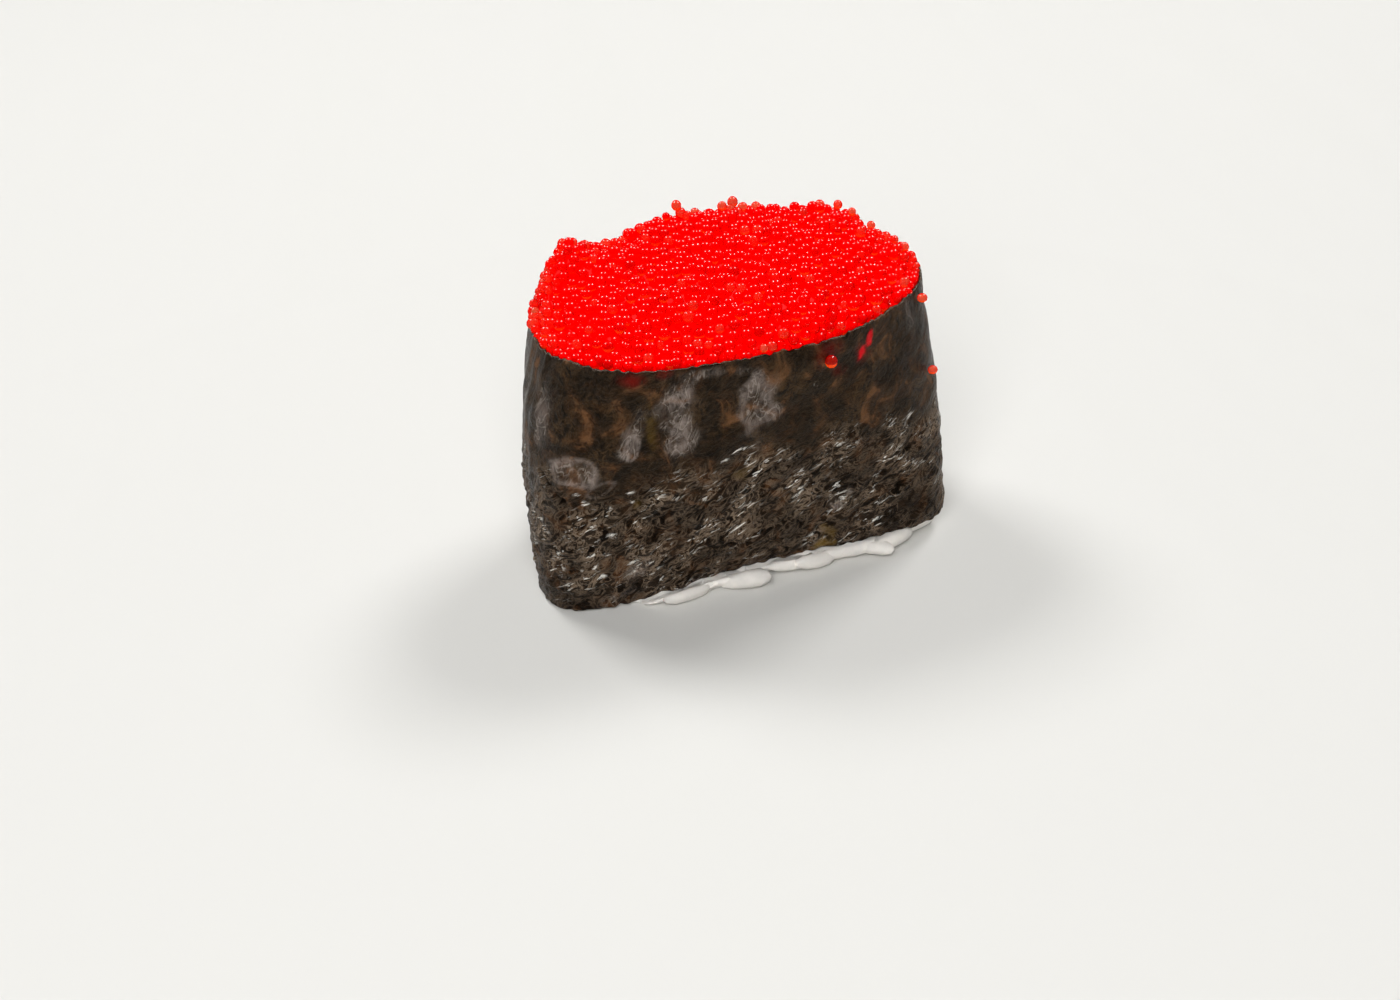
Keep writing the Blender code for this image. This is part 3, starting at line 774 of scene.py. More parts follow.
    # Places of painted glints on the sheet.
    glint: tuple[Mark, ...] = (
        Mark(66.6, 20.6, 2.1, 0.55, 7.0, 1.3), Mark(64.4, 19.6, 1.0, 0.5, 18.0, 1.0),
        Mark(67.4, 12.1, 1.9, 0.6, 22.0, 1.2), Mark(67.6, 14.4, 1.2, 0.4, 30.0, 0.9),
        Mark(84.1, 11.7, 1.4, 0.45, 45.0, 1.0), Mark(86.2, 14.2, 1.1, 0.4, 20.0, 0.8),
        Mark(89.4, 19.0, 1.3, 0.7, 30.0, 0.8), Mark(88.8, 12.2, 0.9, 0.4, 24.0, 0.8),
        Mark(90.2, 7.4, 0.6, 0.35, 30.0, 0.7), Mark(46.8, 17.0, 0.9, 0.4, -8.0, 1.0),
        Mark(47.6, 15.9, 1.0, 0.4, -12.0, 1.1), Mark(53.0, 17.2, 0.9, 0.35, 5.0, 1.0),
        Mark(53.2, 16.0, 0.5, 0.4, 0.0, 0.9), Mark(56.7, 16.2, 0.7, 0.35, 20.0, 0.8),
        Mark(50.3, 11.4, 1.0, 0.4, -6.0, 1.1), Mark(46.5, 9.8, 0.9, 0.35, -4.0, 1.1),
        Mark(57.6, 9.4, 1.1, 0.35, 35.0, 0.9), Mark(47.6, 6.8, 0.7, 0.35, -30.0, 1.1),
        Mark(48.4, 5.5, 0.7, 0.4, -20.0, 1.1), Mark(55.5, 5.3, 0.9, 0.45, 10.0, 1.0),
        Mark(49.5, 8.6, 0.4, 0.35, 0.0, 0.9), Mark(76.1, 27.3, 0.45, 0.3, -30.0, 1.3),
        Mark(78.0, 9.6, 1.1, 0.35, 20.0, 0.8), Mark(79.6, 15.4, 1.6, 0.3, 18.0, 0.7),
    )

    def rice_backed(self, along: np.ndarray, up: np.ndarray, points: np.ndarray) -> np.ndarray:
        """Share of rice behind the sheet: 1 below the rice's uneven top, fading to 0 in the roe's part.

        Args:
            along: Lengths along the band.
            up: Heights.
            points: Places of the smooth band.

        Returns:
            Shares from 0 to 1.
        """
        level = self.rice_level + 1.2 * np.sin((along - 58.0) / 9.0) + 1.1 * ripple(points, 6.0, SEED + 14)
        return 1.0 - smoothstep(-3.2, 2.2, up - level)

    def grain_relief(self, along: np.ndarray, up: np.ndarray) -> np.ndarray:
        """Push of the rice grains: the highest of many low domes.

        Each dome is its push times the root of 1 less the square of its oval distance.

        Args:
            along: Lengths along the band.
            up: Heights.

        Returns:
            Shares from 0 to 1.
        """
        draw = np.random.default_rng(SEED)
        relief = np.zeros(along.shape)
        count = self.grain_marks
        middles = zip(draw.uniform(0.0, self.length, count), draw.uniform(0.5, 20.0, count),
                      draw.uniform(-0.5, 1.3, count), draw.uniform(0.6, 1.0, count))
        for middle, height, turn, push in middles:
            a = np.mod(along - middle + self.length / 2.0, self.length) - self.length / 2.0
            b = up - height
            far = ((a * math.cos(turn) + b * math.sin(turn)) / self.grain_half[0]) ** 2
            far = far + ((b * math.cos(turn) - a * math.sin(turn)) / self.grain_half[1]) ** 2
            relief = np.maximum(relief, push * np.sqrt(np.clip(1.0 - far, 0.0, 1.0)))
        return relief

    def relief(self, along: np.ndarray, up: np.ndarray, points: np.ndarray) -> np.ndarray:
        """How far the sheet stands out: slow waves, slanted crumple, rice grains behind it, and a few folds.

        Args:
            along: Lengths along the band.
            up: Heights.
            points: Places of the smooth band.

        Returns:
            Offsets outward in millimetres.
        """
        backed = self.rice_backed(along, up, points)
        waves = 0.20 * ripple(points, 13.0, SEED + 1) + 0.08 * ripple(points, 4.5, SEED + 2)
        slant = math.radians(26.0)
        stretched = np.column_stack([(along * math.cos(slant) + up * math.sin(slant)) / 3.2,
                                     up * math.cos(slant) - along * math.sin(slant)])
        crumple = 0.085 * ripple(stretched, 1.25, SEED + 3, 60) + 0.03 * ripple(points, 0.9, SEED + 8, 60)
        creases = -0.15 * (1.0 - smoothstep(0.0, 0.22, np.abs(ripple(stretched, 3.6, SEED + 9, 40))))
        ends = np.exp(-((along - 36.0) / 9.0) ** 2) + np.exp(-((along - 104.0) / 14.0) ** 2)
        grains = (self.grain_relief(along, up) - 0.3) * self.grain_push * (1.0 - 0.7 * ends)
        folds = np.zeros(along.shape)
        for fold in self.crease_and_shade:
            folds = folds - 0.6 * fold.cover(along, up, np.zeros(along.shape))
        for place, width in ((33.4, 0.8), (36.0, 0.7), (38.2, 0.8)):
            folds = folds + 0.16 * np.exp(-((along - place - 0.12 * (up - 16.0)) / width) ** 2)
        return waves + crumple * (0.25 + 0.9 * backed) + (creases + grains) * backed + folds - 0.25

    def build(self) -> bpy.types.Object:
        """Builds the sheet: a fine outer grid and a plainer inner one, joined at the edges.

        Returns:
            The band piece.
        """
        share = np.linspace(-self.lap_share / 2.0, 1.0 + self.lap_share / 2.0, self.columns)
        lift = self.lap_lift * smoothstep(1.0 - 1.4 * self.lap_share, 1.0 - 0.55 * self.lap_share, share)
        heights = np.linspace(0.0, 1.0, self.rows)
        plain = np.array([self.shape.wall(share, h, lift) for h in heights])
        along = np.broadcast_to(share * self.length, plain.shape[:2])
        up = plain[..., 2]
        flat_points = plain.reshape(-1, 3)
        relief = self.relief(along.ravel(), up.ravel(), flat_points).reshape(up.shape)
        outer = np.array([self.shape.wall(share, h, lift + relief[i]) for i, h in enumerate(heights)])
        outer[..., 2] = up
        rows = self.rows
        picks = np.array([0, 4, rows // 4, rows // 2, 3 * rows // 4, rows - 5, rows - 1])
        low = relief.min(axis=0) - self.sheet
        behind = [relief[i] - self.sheet if i in (0, rows - 1) else low for i in picks]
        inner = np.array([self.shape.wall(share, heights[i], lift + back) for i, back in zip(picks, behind)])
        inner[..., 2] = up[picks]
        fray = ripple(np.column_stack([along[0], np.zeros(self.columns)]), 2.2, SEED + 4)
        nicks = ripple(np.column_stack([along[0], np.ones(self.columns)]), 0.9, SEED + 5)
        for layer, level in ((outer, heights), (inner, heights[picks])):
            layer[..., 2] += np.outer((1.0 - level) ** 12, 0.10 * fray + 0.05 * nicks)
            layer[..., 2] += np.outer(level ** 12, 0.10 * nicks - 0.08 * fray)
        columns, count = self.columns, rows * self.columns
        top = count + (len(picks) - 1) * columns
        line = np.arange(columns)
        rim = count - columns
        rims = [np.stack([line[1:], line[:-1], count + line[:-1], count + line[1:]], axis=1),
                np.stack([rim + line[:-1], rim + line[1:], top + line[1:], top + line[:-1]], axis=1)]
        ends = []
        for column, turn in ((0, 1), (columns - 1, -1)):
            for step, (first, last) in enumerate(zip(picks[:-1], picks[1:])):
                outside = np.arange(first, last + 1) * columns + column
                corners = np.concatenate([outside, [count + (step + 1) * columns + column,
                                                    count + step * columns + column]])
                ends.append(corners[::-turn][None])
        faces = [grid_faces(rows, columns, False), grid_faces(len(picks), columns, False, count)[:, ::-1]]
        faces += rims + ends
        points = self.shape.placed(np.concatenate([outer.reshape(-1, 3), inner.reshape(-1, 3)]))
        masks = self.masks(along.ravel(), up.ravel(), flat_points)
        chart = np.column_stack([along.ravel(), up.ravel()]) / CHART_MM
        hidden = np.zeros(inner.shape[0] * inner.shape[1])
        inner_chart = chart.reshape(rows, columns, 2)[picks].reshape(-1, 2)
        return make_piece("nori_band", points, faces, self.finish.make(), "nori",
                          {key: np.concatenate([value, hidden]) for key, value in masks.items()},
                          np.concatenate([chart, inner_chart]))

    def masks(self, along: np.ndarray, up: np.ndarray, points: np.ndarray) -> dict[str, np.ndarray]:
        """Most that each layer of the finish may cover, at every place.

        Args:
            along: Lengths along the band.
            up: Heights.
            points: Places of the smooth band.

        Returns:
            Values from 0 to 1, by the layer's name.
        """
        backed = self.rice_backed(along, up, points)
        rough = ripple(points, 1.6, SEED + 6, 50) + 0.6 * ripple(points, 0.8, SEED + 7, 50)
        slow = ripple(points, 3.6, SEED + 15, 40)
        patches = smoothstep(-0.4, 1.1, ripple(points, 5.0, SEED + 10, 40))
        covers = {}
        for key, marks, uneven, fade in (
                ("film_and_sheen", self.film_and_sheen, 0.8 * slow, 1.1), ("outline", self.outline, 0.8 * slow, 0.75),
                ("shade", self.shade, 1.3 * slow, 1.2), ("stain", self.stain, 0.8 * slow, 1.2),
                ("tear", self.tear, 0.8 * rough, 0.6), ("olive", self.olive, 0.8 * rough, 0.9),
                ("crease_and_shade", self.crease_and_shade, 0.5 * rough, 0.75), ("glint", self.glint, 0.5 * rough, 0.75)):
            covers[key] = np.array([mark.cover(along, up, uneven, fade) for mark in marks])
        strength = np.array([mark.strength for mark in self.outline])[:, None]
        ring = covers["outline"] / strength
        placed = {key: cover.max(axis=0) for key, cover in covers.items()}
        lively = backed * (1.0 - 0.85 * placed["shade"])
        return {
            # Masks of painted light: highlights on the crumple's ridges, shade in its pits and folds, glints,
            # and sheen in the films.
            "hairs": 0.15 + 0.35 * patches, "crumple": lively * (0.45 + 0.45 * patches),
            "ridge_sheen": 0.04 + lively * (0.3 + 0.5 * patches), "pit_shade": 0.4 + 0.55 * backed,
            "film_and_sheen": 0.6 * placed["film_and_sheen"], "strand": 0.3 * smoothstep(0.0, 0.5, placed["film_and_sheen"]),
            "shade": 0.8 * placed["shade"], "crease_and_shade": 0.9 * placed["crease_and_shade"], "stain": 0.8 * placed["stain"],
            "outline": 0.4 * (strength * smoothstep(0.3, 1.0, 4.0 * ring * (1.0 - ring))).max(axis=0),
            "olive": 0.75 * placed["olive"], "tear": 0.95 * placed["tear"], "relief": 0.3 + 0.7 * backed,
            "glint": np.clip(np.maximum(placed["glint"], lively * patches), 0.0, 0.95),
            "shine": np.clip(placed["glint"] - 0.4, 0.0, 0.75),
        }


# Roe


def bead(around: int, down: int) -> tuple[np.ndarray, list[np.ndarray]]:
    """Unit ball as a grid of longitude and latitude with closed poles.

    Args:
        around: Points round each ring.
        down: Bands from pole to pole.

    Returns:
        Points, and faces as quads and triangles.
    """
    polar = np.linspace(0.0, math.pi, down + 1)[1:-1, None]
    angle = np.linspace(0.0, math.tau, around, endpoint=False)[None] + polar
    rings = np.stack([np.sin(polar) * np.cos(angle), np.sin(polar) * np.sin(angle),
                      np.broadcast_to(np.cos(polar), angle.shape)], axis=-1).reshape(-1, 3)
    points = np.concatenate([[[0.0, 0.0, 1.0]], rings, [[0.0, 0.0, -1.0]]])
    quads = grid_faces(down - 1, around, True, 1)[:, ::-1]
    last = 1 + (down - 2) * around + np.arange(around)
    top = fan_faces(0, 1 + np.arange(around))
    bottom = fan_faces(len(points) - 1, last[::-1])
    return points, [quads, np.concatenate([top, bottom])]


def repeated(faces: list[np.ndarray], count: int, size: int) -> list[np.ndarray]:
    """Repeats the faces of one shape for every copy.

    Args:
        faces: Arrays of the shape's faces.
        count: Number of copies.
        size: Points in one shape.

    Returns:
        Arrays of all faces.
    """
    shift = (np.arange(count) * size)[:, None, None]
    return [(kind[None] + shift).reshape(-1, kind.shape[1]) for kind in faces]


@dataclass(frozen=True)
class RoeHeap:
    """The heap of eggs: a smooth core, and eggs of true size laid over it by throwing darts."""

    shape: BandShape
    finish: FishRoe
    sunken: FishRoe
    juice: RoeJuice
    rise: float = 4.6
    flatness_front: float = 2.4
    flatness_back: float = 4.5
    roll_off: float = 0.8
    piles: tuple[tuple[float, float, float, float, float], ...] = (
        (4.05, -16.4, 9.6, 3.4, 4.2), (1.2, 19.0, 8.6, 4.0, 3.5), (1.4, 24.2, -1.0, 2.6, 4.5),
        (0.7, -1.5, 14.0, 3.0, 3.0), (-0.9, -23.5, 4.5, 3.0, 4.0),
    )
    inset: float = 0.7
    egg_radius: float = 0.66
    egg_spread: float = 0.09
    spacing: float = 1.06
    under_spacing: float = 1.16
    egg_limit: float = 0.965
    rim_eggs: int = 100
    egg_tries: int = 30000
    under_tries: int = 9000
    settle_steps: int = 10
    settle_push: float = 0.22
    settle_reach: float = 1.22
    dents: tuple[tuple[float, float, float, float, float], ...] = ((2.4, -8.5, 13.0, 2.3, 4.0),)
    strays: tuple[tuple[float, float, float], ...] = (
        (0.555, 0.93, 0.80), (0.6735, 0.975, 0.62), (0.6715, 0.675, 0.60),
    )
    proud: tuple[tuple[float, float, float], ...] = (
        (-0.2, 13.6, 1.4), (0.2, 13.3, 0.4), (2.2, 13.8, 0.4), (5.6, 13.4, 0.8), (7.0, 13.4, 1.2),
        (6.6, 13.0, 0.3), (8.3, 13.4, 0.4), (9.9, 13.0, 0.3), (-15.3, 11.4, 1.4), (-14.0, 11.6, 0.9),
        (-15.2, 11.0, 0.4), (-14.6, 12.4, 0.3), (-12.6, 11.6, 0.3), (-18.0, 10.4, 1.2), (-17.6, 10.0, 0.2),
        (-18.4, 9.8, 0.5), (24.0, 2.6, 0.6), (24.2, 0.0, 0.7), (20.4, 7.4, 0.8), (19.2, 9.0, 1.0),
        (17.2, 10.0, 0.5), (22.2, 5.6, 0.6), (1.2, -12.8, 0.0), (21.6, -5.8, -0.2), (-20.8, 5.0, 0.2),
    )

    def middle(self) -> np.ndarray:
        """Flat middle of the heap."""
        return np.array([self.shape.rim_shift, 1.0])

    def border(self, count: int) -> np.ndarray:
        """Flat places round the inside of the band's rim."""
        return self.shape.flat(np.arange(count) / count, 1.0, -self.inset)

    def edge_share(self, flat: np.ndarray) -> np.ndarray:
        """Share of the way from the heap's middle to its edge: distance over the edge's distance that way.

        Args:
            flat: Flat places.

        Returns:
            Shares, over 1 outside the edge.
        """
        border = self.border(240)
        middle = self.middle()
        angle = np.arctan2(border[:, 1] - middle[1], border[:, 0] - middle[0])
        reach = np.hypot(*(border - middle).T)
        away = flat - middle
        order = np.argsort(angle)
        limit = np.interp(np.arctan2(away[:, 1], away[:, 0]), angle[order], reach[order], period=math.tau)
        return np.hypot(away[:, 0], away[:, 1]) / limit

    def height(self, flat: np.ndarray) -> np.ndarray:
        """Height of the heap's smooth surface: a crown that is 1 less the edge share to a power, to a power.

        Piles rise from it or sink into it, and it has a dent at the back left and a step down at the front
        left.

        Args:
            flat: Flat places.

        Returns:
            Heights.
        """
        x, y = flat[:, 0], flat[:, 1]
        share = np.clip(self.edge_share(flat), 0.0, 1.0)
        flatness = self.flatness_front + (self.flatness_back - self.flatness_front) * smoothstep(-5.0, 6.0, y)
        crown = self.rise * (1.0 - share ** flatness) ** self.roll_off
        pile, dent = (sum(high * np.exp(-(((x - at_x) / wide) ** 2 + ((y - at_y) / deep) ** 2))
                          for high, at_x, at_y, wide, deep in hills) for hills in (self.piles, self.dents))
        step = 1.3 * smoothstep(-6.0, -10.0, y) * smoothstep(2.0, -8.0, x)
        tilt = 0.45 * x / 25.0 * (1.0 - share ** 2)
        rim = self.shape.height + self.shape.back_rise * smoothstep(2.0, 15.0, y)
        return rim - 0.25 + crown + tilt - (dent + step) * (1.0 - share ** 8) + pile * (1.0 - share ** 16)

    def normals(self, flat: np.ndarray) -> np.ndarray:
        """Normals of the smooth surface from its slopes.

        Args:
            flat: Flat places.

        Returns:
            Unit normals.
        """
        step = 0.2
        slope_x = (self.height(flat + [step, 0.0]) - self.height(flat - [step, 0.0])) / (2.0 * step)
        slope_y = (self.height(flat + [0.0, step]) - self.height(flat - [0.0, step])) / (2.0 * step)
        normal = np.column_stack([-slope_x, -slope_y, np.ones(len(flat))])
        return normal / np.linalg.norm(normal, axis=1, keepdims=True)

    def darts(self, draw: np.random.Generator, spacing: float, tries: int) -> np.ndarray:
        """Evenly spread flat places: darts whose points on the heap keep a least distance, then settled.

        Args:
            draw: Random generator.
            spacing: Least distance in millimetres.
            tries: Number of darts.

        Returns:
            Flat places.
        """
        thrown = draw.uniform((-26.0, -15.0), (27.0, 18.5), (tries, 2))
        share = self.edge_share(thrown)
        thrown = thrown[share < self.egg_limit]
        surface = np.column_stack([thrown, self.height(thrown)])
        kept = np.empty((0, 3))
        for point in surface:
            if not len(kept) or ((kept - point) ** 2).sum(axis=1).min() > spacing ** 2:
                kept = np.vstack([kept, point])
        return self.settled(kept[:, :2], self.settle_reach * spacing)

    def settled(self, flat: np.ndarray, reach: float) -> np.ndarray:
        """Evens out eggs: each step pushes every egg away from those nearer than a reach.

        The push is a part of the overlap, and an egg's distance to itself counts as a large one.

        Args:
            flat: Flat places.
            reach: Distance under which eggs push each other.

        Returns:
            The settled places, within the heap's edge.
        """
        middle = self.middle()
        own_distance = 9.0
        for _ in range(self.settle_steps):
            surface = np.column_stack([flat, self.height(flat)])
            apart = surface[:, None] - surface[None]
            distance = np.sqrt((apart ** 2).sum(axis=2)) + np.eye(len(flat)) * own_distance
            push = np.clip(reach - distance, 0.0, None) / distance
            flat = flat + self.settle_push * (apart[..., :2] * push[..., None]).sum(axis=1)
            over = np.maximum(self.edge_share(flat) / self.egg_limit, 1.0)[:, None]
            flat = middle + (flat - middle) / over
        return flat

    def build_core(self) -> bpy.types.Object:
        """Builds the core under the eggs: a grid of edge share and turn, carried down inside the band.

        It shows where the eggs leave a gap.

        Returns:
            The piece.
        """
        count, steps = 160, 36
        border = self.border(count)
        middle = self.middle()
        share = np.arange(count) / count
        rings = [self.shape.ring(share, height, -self.inset - 0.4) for height in (17.4, 22.0, 27.0, 31.0)]
        for reach in np.linspace(1.0, 0.03, steps):
            flat = middle + (border - middle) * reach
            sink = 0.85 + 0.1 * ripple(flat, 5.0, SEED + 11)
            rings.append(np.column_stack([flat, self.height(flat) - sink]))
        points, faces = closed_rings(rings)
        return make_piece("roe_core", self.shape.placed(points), faces, self.juice.make(), "roe")

    def build_eggs(self) -> None:
        """Builds the eggs that show and those along the rim, the layer just under them, and the strays."""
        draw = np.random.default_rng(SEED + 12)
        material = self.finish.make()
        top = self.darts(draw, self.spacing, self.egg_tries)
        count = self.rim_eggs
        rim_share = (np.arange(count) + draw.uniform(-0.3, 0.3, count)) / count
        over = smoothstep(0.29, 0.24, rim_share) + smoothstep(0.69, 0.74, rim_share)
        rim = self.shape.flat(rim_share, 1.0, -self.inset - draw.uniform(0.35, 0.7, count) + 0.4 * over)
        rim_height = self.shape.rim_edge(rim_share, rim[:, 1]) + draw.uniform(-0.45, 0.2, count) + 0.3 * over
        lift = np.clip(draw.normal(-0.12, 0.19, len(top)), -0.55, 0.20)
        placed = np.array(self.proud)
        lone = np.column_stack([placed[:, :2], self.height(placed[:, :2]) + placed[:, 2]])
        lift = lift + 0.16 * ripple(top, 4.5, SEED + 13)
        laid = np.column_stack([top, self.height(top)]) + self.normals(top) * lift[:, None]
        clear = ((laid[:, None] - lone[None]) ** 2).sum(axis=2).min(axis=1) > 0.8
        edge = smoothstep(0.84, 0.98, self.edge_share(top)) * smoothstep(-7.0, 5.0, top[:, 1])
        centres = [laid[clear], np.column_stack([rim, rim_height]), lone]
        # Openness sets how strongly an egg gets the painted paler middle, and some painted glow.
        paler = draw.uniform(0.05, 0.25, len(top)) * (draw.random(len(top)) > 0.9)
        openness = [np.clip(edge * draw.uniform(0.0, 0.35, len(top)) + paler, 0.0, 1.0)[clear],
                    draw.uniform(0.0, 0.5, len(rim)) * over, draw.uniform(0.4, 1.0, len(lone))]
        for share, h, radius in self.strays:
            centres.append(self.shape.wall(np.array([share]), h, radius - 0.15))
        openness.append(np.array([0.1, 0.9, 0.9]))
        centres, openness = np.concatenate(centres), np.concatenate(openness)
        uneven = np.clip(draw.normal(0.0, self.egg_spread, len(centres)), -0.18, 0.15)
        radii = self.egg_radius * (1.0 + uneven)
        radii[-3:] = [stray[2] for stray in self.strays]
        tint = np.clip(draw.normal(0.94, 0.14, len(centres)), 0.6, 1.0)
        tint[-3] = 0.1
        # Glow sets the strength of each egg's painted orange crescent of light.
        glow = np.where(draw.random(len(centres)) > 0.78, draw.uniform(0.3, 0.8, len(centres)), 0.04)
        glow = np.maximum(glow, np.minimum(1.0, openness * 1.2))
        glow[-3:] = 1.0
        self.join_eggs("roe_eggs", draw, bead(9, 6), centres, radii, (tint, glow, openness), material)
        under = self.darts(draw, self.under_spacing, self.under_tries)
        depth = draw.uniform(0.65, 0.95, (len(under), 1))
        centres = np.column_stack([under, self.height(under)]) - self.normals(under) * depth
        radii = np.full(len(under), self.egg_radius)
        plain = np.zeros(len(under))
        self.join_eggs("roe_under_eggs", draw, bead(7, 4), centres, radii, (plain + 1.0, plain, plain),
                       self.sunken.make())

    def join_eggs(self, name: str, draw: np.random.Generator, ball: tuple[np.ndarray, list[np.ndarray]],
                  centres: np.ndarray, radii: np.ndarray, looks: tuple[np.ndarray, np.ndarray, np.ndarray],
                  material: bpy.types.Material) -> bpy.types.Object:
        """Makes one piece of many eggs, each a turned ball a little out of round.

        Args:
            name: Name of the piece.
            draw: Random generator.
            ball: Points and faces of a unit ball.
            centres: Middles.
            radii: Radii.
            looks: Tint, glow and openness of each egg.
            material: Its material.

        Returns:
            The piece.
        """
        shell, faces = ball
        count = len(centres)
        turned = np.einsum("nij,kj->nki", random_turns(draw, count), shell)
        turned = turned * draw.uniform(0.90, 1.06, (count, 1, 3))
        points = centres[:, None] + turned * radii[:, None, None]
        tint, glow, openness = (np.repeat(look, len(shell)) for look in looks)
        attributes = {"egg_lift": turned[..., 2].ravel(), "egg_tint": tint, "egg_glow": glow,
                      "egg_open": openness}
        return make_piece(name, self.shape.placed(points.reshape(-1, 3)), repeated(faces, count, len(shell)),
                          material, "roe", attributes)


# Rice


@dataclass(frozen=True)
class RiceBlock:
    """The pressed rice: a core, and grains of true size round its foot and over its underside."""

    shape: BandShape
    finish: CookedRice
    top: float = 17.0
    inset: float = 0.7
    grain_half: tuple[float, float, float] = (3.1, 1.32, 1.15)
    bare_left: float = -14.5
    bare_right: float = 18.5
    foot_grains: int = 60
    second_row: int = 56
    under_grains: int = 210
    shown: tuple[tuple[float, float, float, float], ...] = (
        (0.374, -0.9, 0.9, -12.0), (0.391, 0.1, 1.0, -4.0), (0.414, 0.9, 1.0, 10.0), (0.434, 0.0, 1.1, -4.0),
        (0.450, 0.3, 1.2, -12.0), (0.468, 1.5, 1.15, -20.0), (0.494, -0.3, 1.3, 4.0), (0.512, 0.5, 1.2, 4.0),
        (0.536, 0.9, 1.2, 14.0), (0.558, -0.4, 1.3, 6.0), (0.574, -0.1, 1.4, -4.0), (0.590, 0.3, 1.35, -30.0),
        (0.611, -0.2, 1.4, 18.0),
    )

    def grain(self, around: int, down: int) -> tuple[np.ndarray, list[np.ndarray]]:
        """One grain of unit half sizes: a ball along X, its ends blunted by a power, bent along its length.

        Args:
            around: Points round each ring.
            down: Bands from end to end.

        Returns:
            Points, and faces as quads and triangles.
        """
        ball, faces = bead(around, down)
        long_way = ball[:, [2, 0, 1]]
        x = np.sign(long_way[:, 0]) * np.abs(long_way[:, 0]) ** 0.86
        bend = 0.16 * (x ** 2 - 0.4)
        return np.column_stack([x, long_way[:, 1] * (1.0 + 0.08 * x) + bend, long_way[:, 2]]), faces

    def build_core(self, material: bpy.types.Material) -> bpy.types.Object:
        """Builds the core as rings that follow the band, closed below and above.

        It swells at the front of the foot, where it fills between the grains.

        Args:
            material: Its material.

        Returns:
            The piece.
        """
        count = 120
        share = np.arange(count) / count
        swell = smoothstep(0.35, 0.39, share) * smoothstep(0.64, 0.60, share)
        edge = self.shape.foot_edge(self.shape.flat(share, 0.0)[:, 0])
        low_rings = ((0.06, -1.9, 1.7), (0.35, -1.2, 1.6), (0.66, -0.9, 1.0), (0.90, -0.8, 0.25),
                     (1.15, -0.9, 0.0))
        rings = [np.column_stack([self.shape.flat(share, 0.01, reach + out * swell), rise * edge])
                 for rise, reach, out in low_rings]
        rings += [self.shape.ring(share, height, -self.inset - extra)
                  for height, extra in ((5.0, 0.5), (11.0, 0.5), (16.4, 0.5), (self.top, 1.2))]
        points, faces = closed_rings(rings)
        return make_piece("rice_core", self.shape.placed(points), faces, material, "rice")

    def build_grains(self, material: bpy.types.Material) -> bpy.types.Object:
        """Builds the grains: two rows round the foot and a layer underneath, pressed flat on the floor.

        Args:
            material: Their material.

        Returns:
            The piece.
        """
        draw = np.random.default_rng(SEED + 21)
        shape = self.shape
        first = (np.arange(self.foot_grains) + draw.uniform(-0.35, 0.35, self.foot_grains)) / self.foot_grains
        second = (np.arange(self.second_row) + draw.uniform(-0.3, 0.3, self.second_row)) / self.second_row
        ends = smoothstep(19.0, 23.0, shape.flat(first, 0.02)[:, 0])
        reach = self.inset - draw.uniform(0.1, 1.4, len(first)) * (1.0 - ends) + 0.5 * ends
        spots = [shape.flat(first, 0.02, -reach),
                 shape.flat(second, 0.03, -self.inset - draw.uniform(1.6, 2.3, len(second)))]
        border = shape.flat(np.arange(300) / 300, 0.02, -3.4)
        inner = draw.uniform((-26.0, -16.0), (27.0, 15.0), (4000, 2))
        inner = inner[inside(inner, border)][:self.under_grains]
        spots.append(inner)
        flat = np.concatenate(spots)
        under_edge = shape.foot_edge(spots[0][:, 0]) - 1.15 - draw.uniform(0.0, 0.25, len(first))
        height = np.concatenate([under_edge, draw.uniform(2.0, 2.3, len(second)),
                                 draw.uniform(0.9, 1.2, len(inner))])
        shown = np.array(self.shown)
        ahead = np.concatenate([shape.heading(first), shape.heading(second),
                                draw.normal(size=(len(inner), 2))])
        yaw = np.arctan2(ahead[:, 1], ahead[:, 0]) + draw.normal(0.0, 0.5, len(flat))
        covered = np.arange(len(flat)) < len(first)
        covered[:len(first)] &= (first > shown[0, 0] - 0.01) & (first < shown[-1, 0] + 0.03)
        ahead = shape.heading(shown[:, 0])
        flat = np.concatenate([flat[~covered], shape.flat(shown[:, 0], 0.02, shown[:, 1])])
        height = np.concatenate([height[~covered], shown[:, 2]])
        yaw = np.concatenate([yaw[~covered], np.arctan2(ahead[:, 1], ahead[:, 0]) + np.radians(shown[:, 3])])
        pitch = draw.normal(0.0, 0.10, len(flat))
        ball, faces = self.grain(10, 6)
        size = np.array(self.grain_half) * draw.uniform(0.86, 1.08, (len(flat), 1))
        size = size * draw.uniform(0.94, 1.06, (len(flat), 3))
        local = ball[None] * size[:, None]
        roll = draw.uniform(0.0, math.tau, len(flat))[:, None]
        y = local[..., 1] * np.cos(roll) - local[..., 2] * np.sin(roll)
        x = local[..., 0]
        z = local[..., 1] * np.sin(roll) + local[..., 2] * np.cos(roll) + x * np.sin(pitch)[:, None]
        world = np.stack([x * np.cos(yaw)[:, None] - y * np.sin(yaw)[:, None] + flat[:, :1],
                          x * np.sin(yaw)[:, None] + y * np.cos(yaw)[:, None] + flat[:, 1:],
                          z + height[:, None]], axis=-1).reshape(-1, 3)
        within = inside(world[:, :2], shape.flat(np.arange(400) / 400, 0.03, -0.9)).reshape(len(flat), -1)
        kept = within.all(axis=1) | ((flat[:, 0] > self.bare_left) & (flat[:, 0] < self.bare_right))
        world = self.tucked(world.reshape(len(flat), -1, 3)[kept].reshape(-1, 3))
        flat = flat[kept]
        return make_piece("rice_grains", shape.placed(world), repeated(faces, len(flat), len(ball)), material,
                          "rice")

